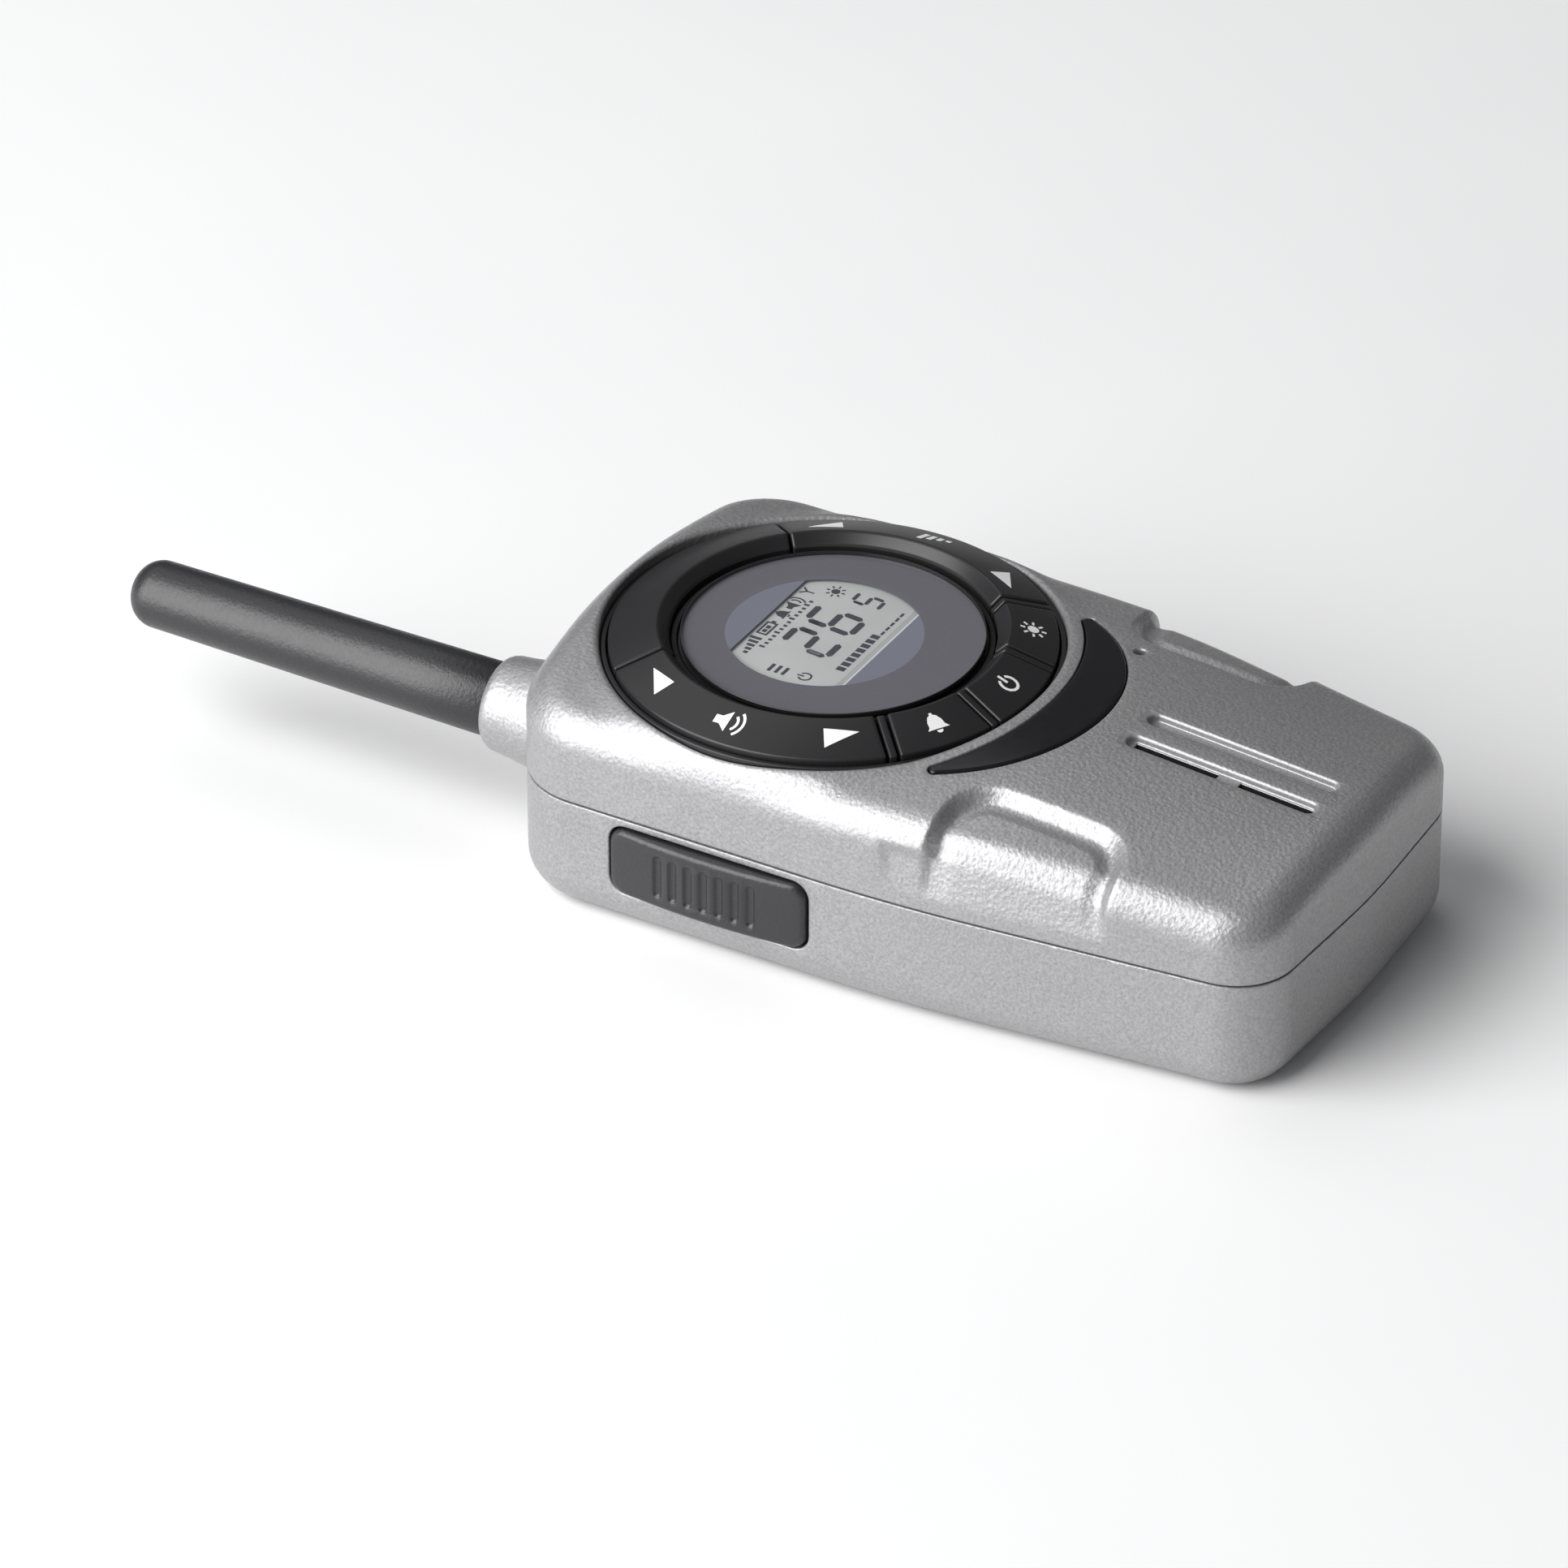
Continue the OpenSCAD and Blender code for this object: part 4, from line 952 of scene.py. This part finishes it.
for key, start, stop, signs in (
    ("volume_rocker", (135, 0.3), (225, -0.75), [(180, speaker_sign), (148, arrow_back), (212, arrow)]),
    ("channel_rocker", (-45, 0.75), (45, -0.3), [(0, bars_sign), (-32, arrow_back), (32, arrow)]),
    ("call_key", (225, 0.75), (255, -0.75), [(240, bell_sign)]),
    ("mode_key", (255, 0.75), (285, -0.75), [(270, power_sign)]),
    ("light_key", (285, 0.75), (315, -0.75), [(300, sun_sign)]),
):
    piece(key + "_cap", key_cap(start, stop), key, charcoal, key, solid=True)
    shapes = [on_ring(shape, angle) for angle, sign in signs for shape in sign]
    piece(key + "_signs", prints(shapes, on_keys), key, white_ink)


# Window: a round grey acrylic pane, pressed into the barrel and bonded on a black gasket. It is printed grey
# from behind and left clear over the display.
def window_look(at):
    y = at.part(1)
    printed = 1 - at.part(2).step(25.95, 26.05)
    ring = at.away(0, 1.1).step(10.64, 10.76)
    beside = (y - 1.2).size().step(6.88, 6.96)
    # Painted shade: the pane's rounded rim is near black and rougher, for the dark gap round the window.
    rim = at.away(0, 0).step(16.32, 16.37)
    # Painted highlight: a thin light line just below the clear band's foot edge, inside the clear circle, stands in
    # for a lit bevel.
    line = y.step(-6.02, -5.94) * (1 - y.step(-5.76, -5.68)) * (1 - ring)
    haze = noise(at, 0.5, 3.0)
    tint = ring.mix((0.18, 0.188, 0.232), haze.mix((0.122, 0.119, 0.137), (0.135, 0.132, 0.151)))
    solid = rim.maths("MAXIMUM", rim, printed * ring.maths("MAXIMUM", ring, beside))
    return {
        "Base_Color": rim.mix(line.mix(tint, (0.60, 0.61, 0.64)), (0.004, 0.004, 0.005)),
        "Roughness": 0.2 + 0.06 * haze + 0.3 * rim,
        "Alpha": 0.08 + 0.92 * solid,
    }


window = finish("window_pane", window_look, Coat_Weight=0.5, Coat_Roughness=0.08)
pane_top, pane_back, pane_r = 26.4, 25.9, 16.48
pane_line = [(r, pane_top) for r in (0, 4, 8, 12, 15)]
pane_line += rounded([(16.1, pane_top), (pane_r, pane_top), (pane_r, pane_back)], [0.12], 4) + [(0, pane_back)]
piece("window", lathe(pane_line, upright, 160), "housing", window, "display_lens", solid=True)


# Display: a pale glass cell on its light block, whose dark segments are set as plain digits, a row of level
# bars, a battery and a mast sign.
def cell_look(at):
    edge = 1 - at.part(1).step(-4.95, -4.85)
    tint = noise(at, 3).mix((0.52, 0.53, 0.52), (0.60, 0.61, 0.595))
    return {"Base_Color": edge.mix(tint, (0.42, 0.44, 0.42)), "Roughness": 0.25 + 0.1 * noise(at, 0.4)}


glass = finish("display_cell", cell_look, Coat_Weight=0.3)
ink = finish("display_segments", mottled(0.4, (0.03, 0.03, 0.034), (0.05, 0.05, 0.054), 0.4, 0.1, [0.3]))
glass_box, cell_top = Pattern(), 25.58
cell_rows = [(0, 25.35), (-0.05, 25.48), (-0.15, 25.56), (-0.3, cell_top)]
rim = glass_box.edging(soft_box(-12.4, 12.4, -8.7, 8.7, 0.6, 1.0, fixed=True), lying, cell_rows, rim=True)
glass_box.facets()
glass_box.faces.append(tuple(glass_box.wall(rim, (0, 0, -2.25))[::-1]))
piece("display_glass", glass_box.mesh(), "housing", glass, "lcd_glass", solid=True)


def digit(x, y, width, height, lit):
    """Segments of one digit that are dark, slanted a little to the right."""
    t, gap = width * 0.2, width * 0.035
    low, mid, high, left, right = t / 2, height / 2, height - t / 2, t / 2, width - t / 2

    def bar(start, stop, across, tall):
        near, far = start + t / 2 + gap, stop - t / 2 - gap
        ring = [(start + gap + t * 0.1, across), (near, across + t / 2), (far, across + t / 2),
                (stop - gap - t * 0.1, across), (far, across - t / 2), (near, across - t / 2)]
        return [(v, u) for u, v in ring] if tall else ring

    parts = {s: bar(left, right, cy, False) for s, cy in (("a", high), ("g", mid), ("d", low))}
    parts |= {s: bar(mid, high, cx, True) for s, cx in (("f", left), ("b", right))}
    parts |= {s: bar(low, mid, cx, True) for s, cx in (("e", left), ("c", right))}
    return [[(x + px + 0.1 * py, y + py) for px, py in parts[s]] for s in lit]


def small(signs, x, y, scale=0.7):
    """A key's sign, made smaller for the display."""
    return [[(x + scale * px, y + scale * py) for px, py in shape] for shape in signs]


battery_sign = [
    slab(-1.6, 1.5, -0.8, -0.5), slab(-1.6, 1.5, 0.5, 0.8), slab(-1.6, -1.3, -0.5, 0.5), slab(1.2, 1.5, -0.5, 0.5),
    slab(1.5, 1.9, -0.3, 0.3), slab(-1.0, -0.3, -0.3, 0.3), slab(-0.05, 0.65, -0.3, 0.3)]
mast_sign = [slab(-0.13, 0.13, -1.1, 0.3), [(-1, 1.1), (0, -0.1), (1, 1.1), (0.6, 1.1), (0, 0.4), (-0.6, 1.1)]]
shapes = digit(-4.3, -1.7, 4.0, 6.5, "abged") + digit(0.8, -1.7, 4.0, 6.5, "acdefg")
shapes += digit(6.9, -1.5, 2.3, 3.7, "acdfg")
shapes += [slab(-7.4 + 0.75 * i, -6.95 + 0.75 * i, 6.5, 7.0 + 0.22 * i) for i in range(5)]
shapes += small(battery_sign, -1.9, 7.1, 0.85) + small(bell_sign, 1.4, 7.1)
shapes += small(speaker_sign, 4.2, 7.1) + small(mast_sign, 6.7, 7.0)
shapes += [slab(-5.5 + 0.8 * i, -5.15 + 0.8 * i, 5.45, 5.9 if i % 4 else 6.1) for i in range(14)]
shapes += [slab(-9.2, -7.7, y, y + 0.4) for y in (0.9, 1.75, 2.6)]
shapes += small(power_sign, -8.3, -1.2) + small(sun_sign, 8.2, 4.4, 0.8)
shapes += [slab(-5.4 + 1.05 * i, -4.65 + 1.05 * i, -4.3, -3.3 if i < 8 else -4.0) for i in range(13)]
piece("display_segments", prints(shapes, lambda p: cell_top + 0.01, 0.012, 0.5), "housing", ink)


# Crescent: a polished black inlay under the ring, stuck in a shallow recess of the front shell.
# Its top follows the face and stands a little proud of it, with a small radius round the edge.
inlay_look = mottled(5, (0.006, 0.006, 0.007), (0.010, 0.009, 0.011), 0.16, 0.1, [1.2, 4.0])
polished = finish("polished_black", inlay_look, Specular_IOR_Level=0.3)
inlay, proud = Pattern(), 0.15


def on_face(points, lift):
    return lying(points, face_z(points) + lift)


inlay_rows = [(0, -0.12), (-0.05, 0.02), (-0.13, 0.1), (-0.24, 0.14), (-0.3, proud)]
rim = inlay.edging(crescent_ring, on_face, inlay_rows, rim=True)
inlay.fill(*on_face(lattice((-18, 18, 0.7), (-33, -20, 0.7)), proud), 0.4)
inlay.facets()
inlay.wall(rim, (0, 0, -0.6))
piece("crescent_inlay", inlay.mesh(), "housing", polished, "crescent_plate")


# Antenna: a tapered rubber whip with a round tip, moulded over its core.
# It is seated in the collar with a narrow shadow gap.
rubber_look = mottled(
    12, (0.012, 0.012, 0.014), (0.019, 0.019, 0.021), 0.28, 0.18, [0.45, 3.0, 0.65], (0.8, 0.08))
rubber = finish("black_rubber", rubber_look, Specular_IOR_Level=0.6)
tip = arc(0.8, 75.2, 3, 0, 90, 14)
whip_line = [(3.4, 30.6), (4.05, 30.6), (4.2, 30.8), (4.1, 42), (4.0, 53), (3.9, 64)] + tip + [(0, 78.2)]
piece("whip", lathe(whip_line, on_whip), "housing", rubber, "antenna_sheath")


# Talk bar: a crowned rubber bar that is held behind the left side wall by its flange, with cross grooves
# for the thumb.
talk_bar = Pattern()


def on_talk(points, sink):
    return standing(points, -27.95 + points[:, 0] ** 2 / 180 + sink)


talk_rows = [(0, 0.75), (-0.05, 0.42), (-0.17, 0.18), (-0.38, 0.04), (-0.6, 0)]
rim = talk_bar.edging(soft_box(-12, 12, 4.8, 12.8, 1.75, fixed=True), on_talk, talk_rows, rim=True)
for y in np.arange(-5.7, 5.8, 1.9):
    talk_bar.edging(soft_box(y - 0.45, y + 0.45, 6.3, 11.3, 0.4), on_talk,
                    [(0.16, 0), (0.03, 0.1), (-0.1, 0.26), (-0.2, 0.3)])
talk_bar.fill(*on_talk(lattice((-12, 12, 0.8), (5, 13, 0.8)), 0), 0.45)
talk_bar.facets(flip=True)
talk_bar.wall(rim, (2.4, 0, 0))
piece("talk_bar", talk_bar.mesh(), "talk_button", rubber, "talk_button")


# Jack cover: a soft rubber flap over the headset socket on the right side, which swings on a bead at its
# head end. A plug on its back fills the socket.
flap = Pattern()


def on_flap(points, sink):
    return standing(points, 26.95 - sink)


flap_rows = [(0, 0.4), (-0.05, 0.22), (-0.16, 0.08), (-0.35, 0)]
rim = flap.edging(soft_box(-7, 7, 5.3, 12.3, 0.5, fixed=True), on_flap, flap_rows, rim=True)
for y in (-5.6, -4.6, -3.6):
    flap.edging(soft_box(y - 0.3, y + 0.3, 6.8, 10.8, 0.28), on_flap,
                [(0.14, 0), (0.02, 0.08), (-0.1, 0.2), (-0.16, 0.22)])
flap.facets()
flap.pocket(rim, (-1.0, 0, 0), flip=True)
bead_line = [(0, 5.3), (0.6, 5.3), (0.75, 5.45), (0.75, 12.15), (0.6, 12.3), (0, 12.3)]
bead = lathe(bead_line, lambda x, y, z: (26.2 + x, 7 + y, z), 32)
plug = lathe([(0, 24.75), (1.3, 24.75), (1.5, 24.95), (1.5, 25.6)], lambda y, z, x: (x, y, side_z + z), 32)
piece("socket_flap", joined(flap.mesh(), bead, plug), "jack_cover", rubber, "jack_cover")


# Battery door: a silver panel of the back that slides off the foot end on two side rails, with grooves for
# the thumb near its head end.
door, door_thick = Pattern(), 1.6
rim = door.edging(lambda o: door_ring(o, 17.3, -14.9, door_thick), rear.plan,
                  [(0, 0.14), (-0.05, 0.05), (-0.16, 0.01), (-0.3, 0)], rim=True)
for i in range(5):
    y = -18.9 - 1.6 * i
    door.edging(soft_box(-6, 6, y, y + 0.8, 0.35, 0.5), rear.plan,
                [(0.16, 0), (0.04, 0.08), (-0.08, 0.3), (-0.18, 0.38)])
for (flat, place), reach in rear_rows[:6]:
    door.fill(flat, place, 0.35)
grid = lattice((-17, 17.5, 1.2), (-64, -15, 1.2))
door.fill(*rear.plan(grid[inside(grid, rear.base)]), 0.5)
door.facets(flip=True)
door.pocket(rim, (door_thick - door.spots(rim)) * (0, 0, 1), flip=True)
rail_line = ((0, 0.6), (0.95, 0.6), (1.1, 0.75), (1.1, 1.15), (0.95, 1.3), (0, 1.3))
rails = []
for side in (-1, 1):
    verts = [(side * (17.2 + x), y, z) for y in (-61.5, -17.0) for x, z in rail_line]
    rails.append((verts, [tuple(range(6)), tuple(range(11, 5, -1))] + strips(2, 6)))
piece("sliding_door", joined(door.mesh(), *rails), "battery_door", silver, "battery_door")


# Inside: the board with its lacquer and traces, the radio section's can, the silicone mat under the keys,
# sound parts, switches, antenna fittings and cells. Each keeps its solid and gets its own finish.
def board_look(at):
    trace = at.node("TexBrick", None, {
        "Vector": at, "Scale": 0.35, "Color1": (0, 0, 0, 1), "Color2": (0.1, 0.1, 0.1, 1),
        "Mortar": (1, 1, 1, 1), "Mortar Size": 0.03,
    })
    return {
        "Base_Color": trace.mix((0.012, 0.085, 0.035), (0.03, 0.16, 0.06)),
        "Roughness": 0.32 + 0.1 * noise(at, 1.5),
    }


def worked_metal(stretch, size, detail, first, second, rough, more):
    """Look of brushed or turned metal, whose fine lines change both its colour and its gloss."""
    def look(at):
        lines = noise(at.times(*stretch), size, detail)
        return {"Base_Color": lines.mix(first, second), "Roughness": rough + more * lines}
    return look


def cloth_look(at):
    weave = at.node("TexVoronoi", None, {"Vector": at, "Scale": 2.2, "Randomness": 0.0})
    hole = 1 - weave.step(0.25, 0.4)
    return {
        "Base_Color": hole.mix((0.02, 0.02, 0.022), (0.003, 0.003, 0.003)),
        "Roughness": 0.6 + 0.2 * hole,
        "Normal": bump(at, 1 - hole, 0.6, 0.1),
    }


def cell_wrap_look(at):
    y = at.part(1)
    ends = y.step(-17.0, -16.9) + 1 - y.step(-59.9, -59.8)
    sleeve = y.step(-28.1, -28.0).mix((0.10, 0.13, 0.18), (0.42, 0.30, 0.14))
    return {
        "Base_Color": ends.mix(sleeve, (0.62, 0.62, 0.6)),
        "Metallic": 0.2 + 0.75 * ends,
        "Roughness": 0.3 + 0.1 * noise(at, 2),
    }


silicone_look = mottled(4, (0.22, 0.24, 0.26), (0.28, 0.30, 0.32), 0.55, 0.12, [0.4])
white_look = mottled(5, (0.74, 0.74, 0.72), (0.82, 0.82, 0.80), 0.4, 0.1, [0.5])
plated_look = worked_metal((1, 12, 1), 1.2, 3.0, (0.52, 0.52, 0.51), (0.66, 0.66, 0.64), 0.24, 0.16)
brass_look = worked_metal((0.3, 8, 0.3), 1.0, 2.0, (0.60, 0.42, 0.15), (0.74, 0.55, 0.23), 0.25, 0.15)
for look, names in (
    (finish("lacquered_board", board_look), ["main_board"]),
    (finish("plated_steel", plated_look, Metallic=0.95),
     ["shield_can", "microphone", "battery_contacts", "case_screws"]),
    (finish("turned_brass", brass_look, Metallic=0.95), ["antenna_core", "antenna_nut", "antenna_contact"]),
    (finish("grey_silicone", silicone_look), ["keypad_mat"]),
    (finish("white_plastic", white_look), ["backlight"]),
    (dark, ["speaker", "talk_switch", "jack_socket"]),
    (finish("speaker_cloth", cloth_look), ["speaker_mesh"]),
    (rubber, ["lens_gasket"]),
    (finish("cell_wrap", cell_wrap_look), ["battery_cell_1", "battery_cell_2", "battery_cell_3"]),
):
    for name in names:
        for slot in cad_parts[name].material_slots:
            slot.material = look


low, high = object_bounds()
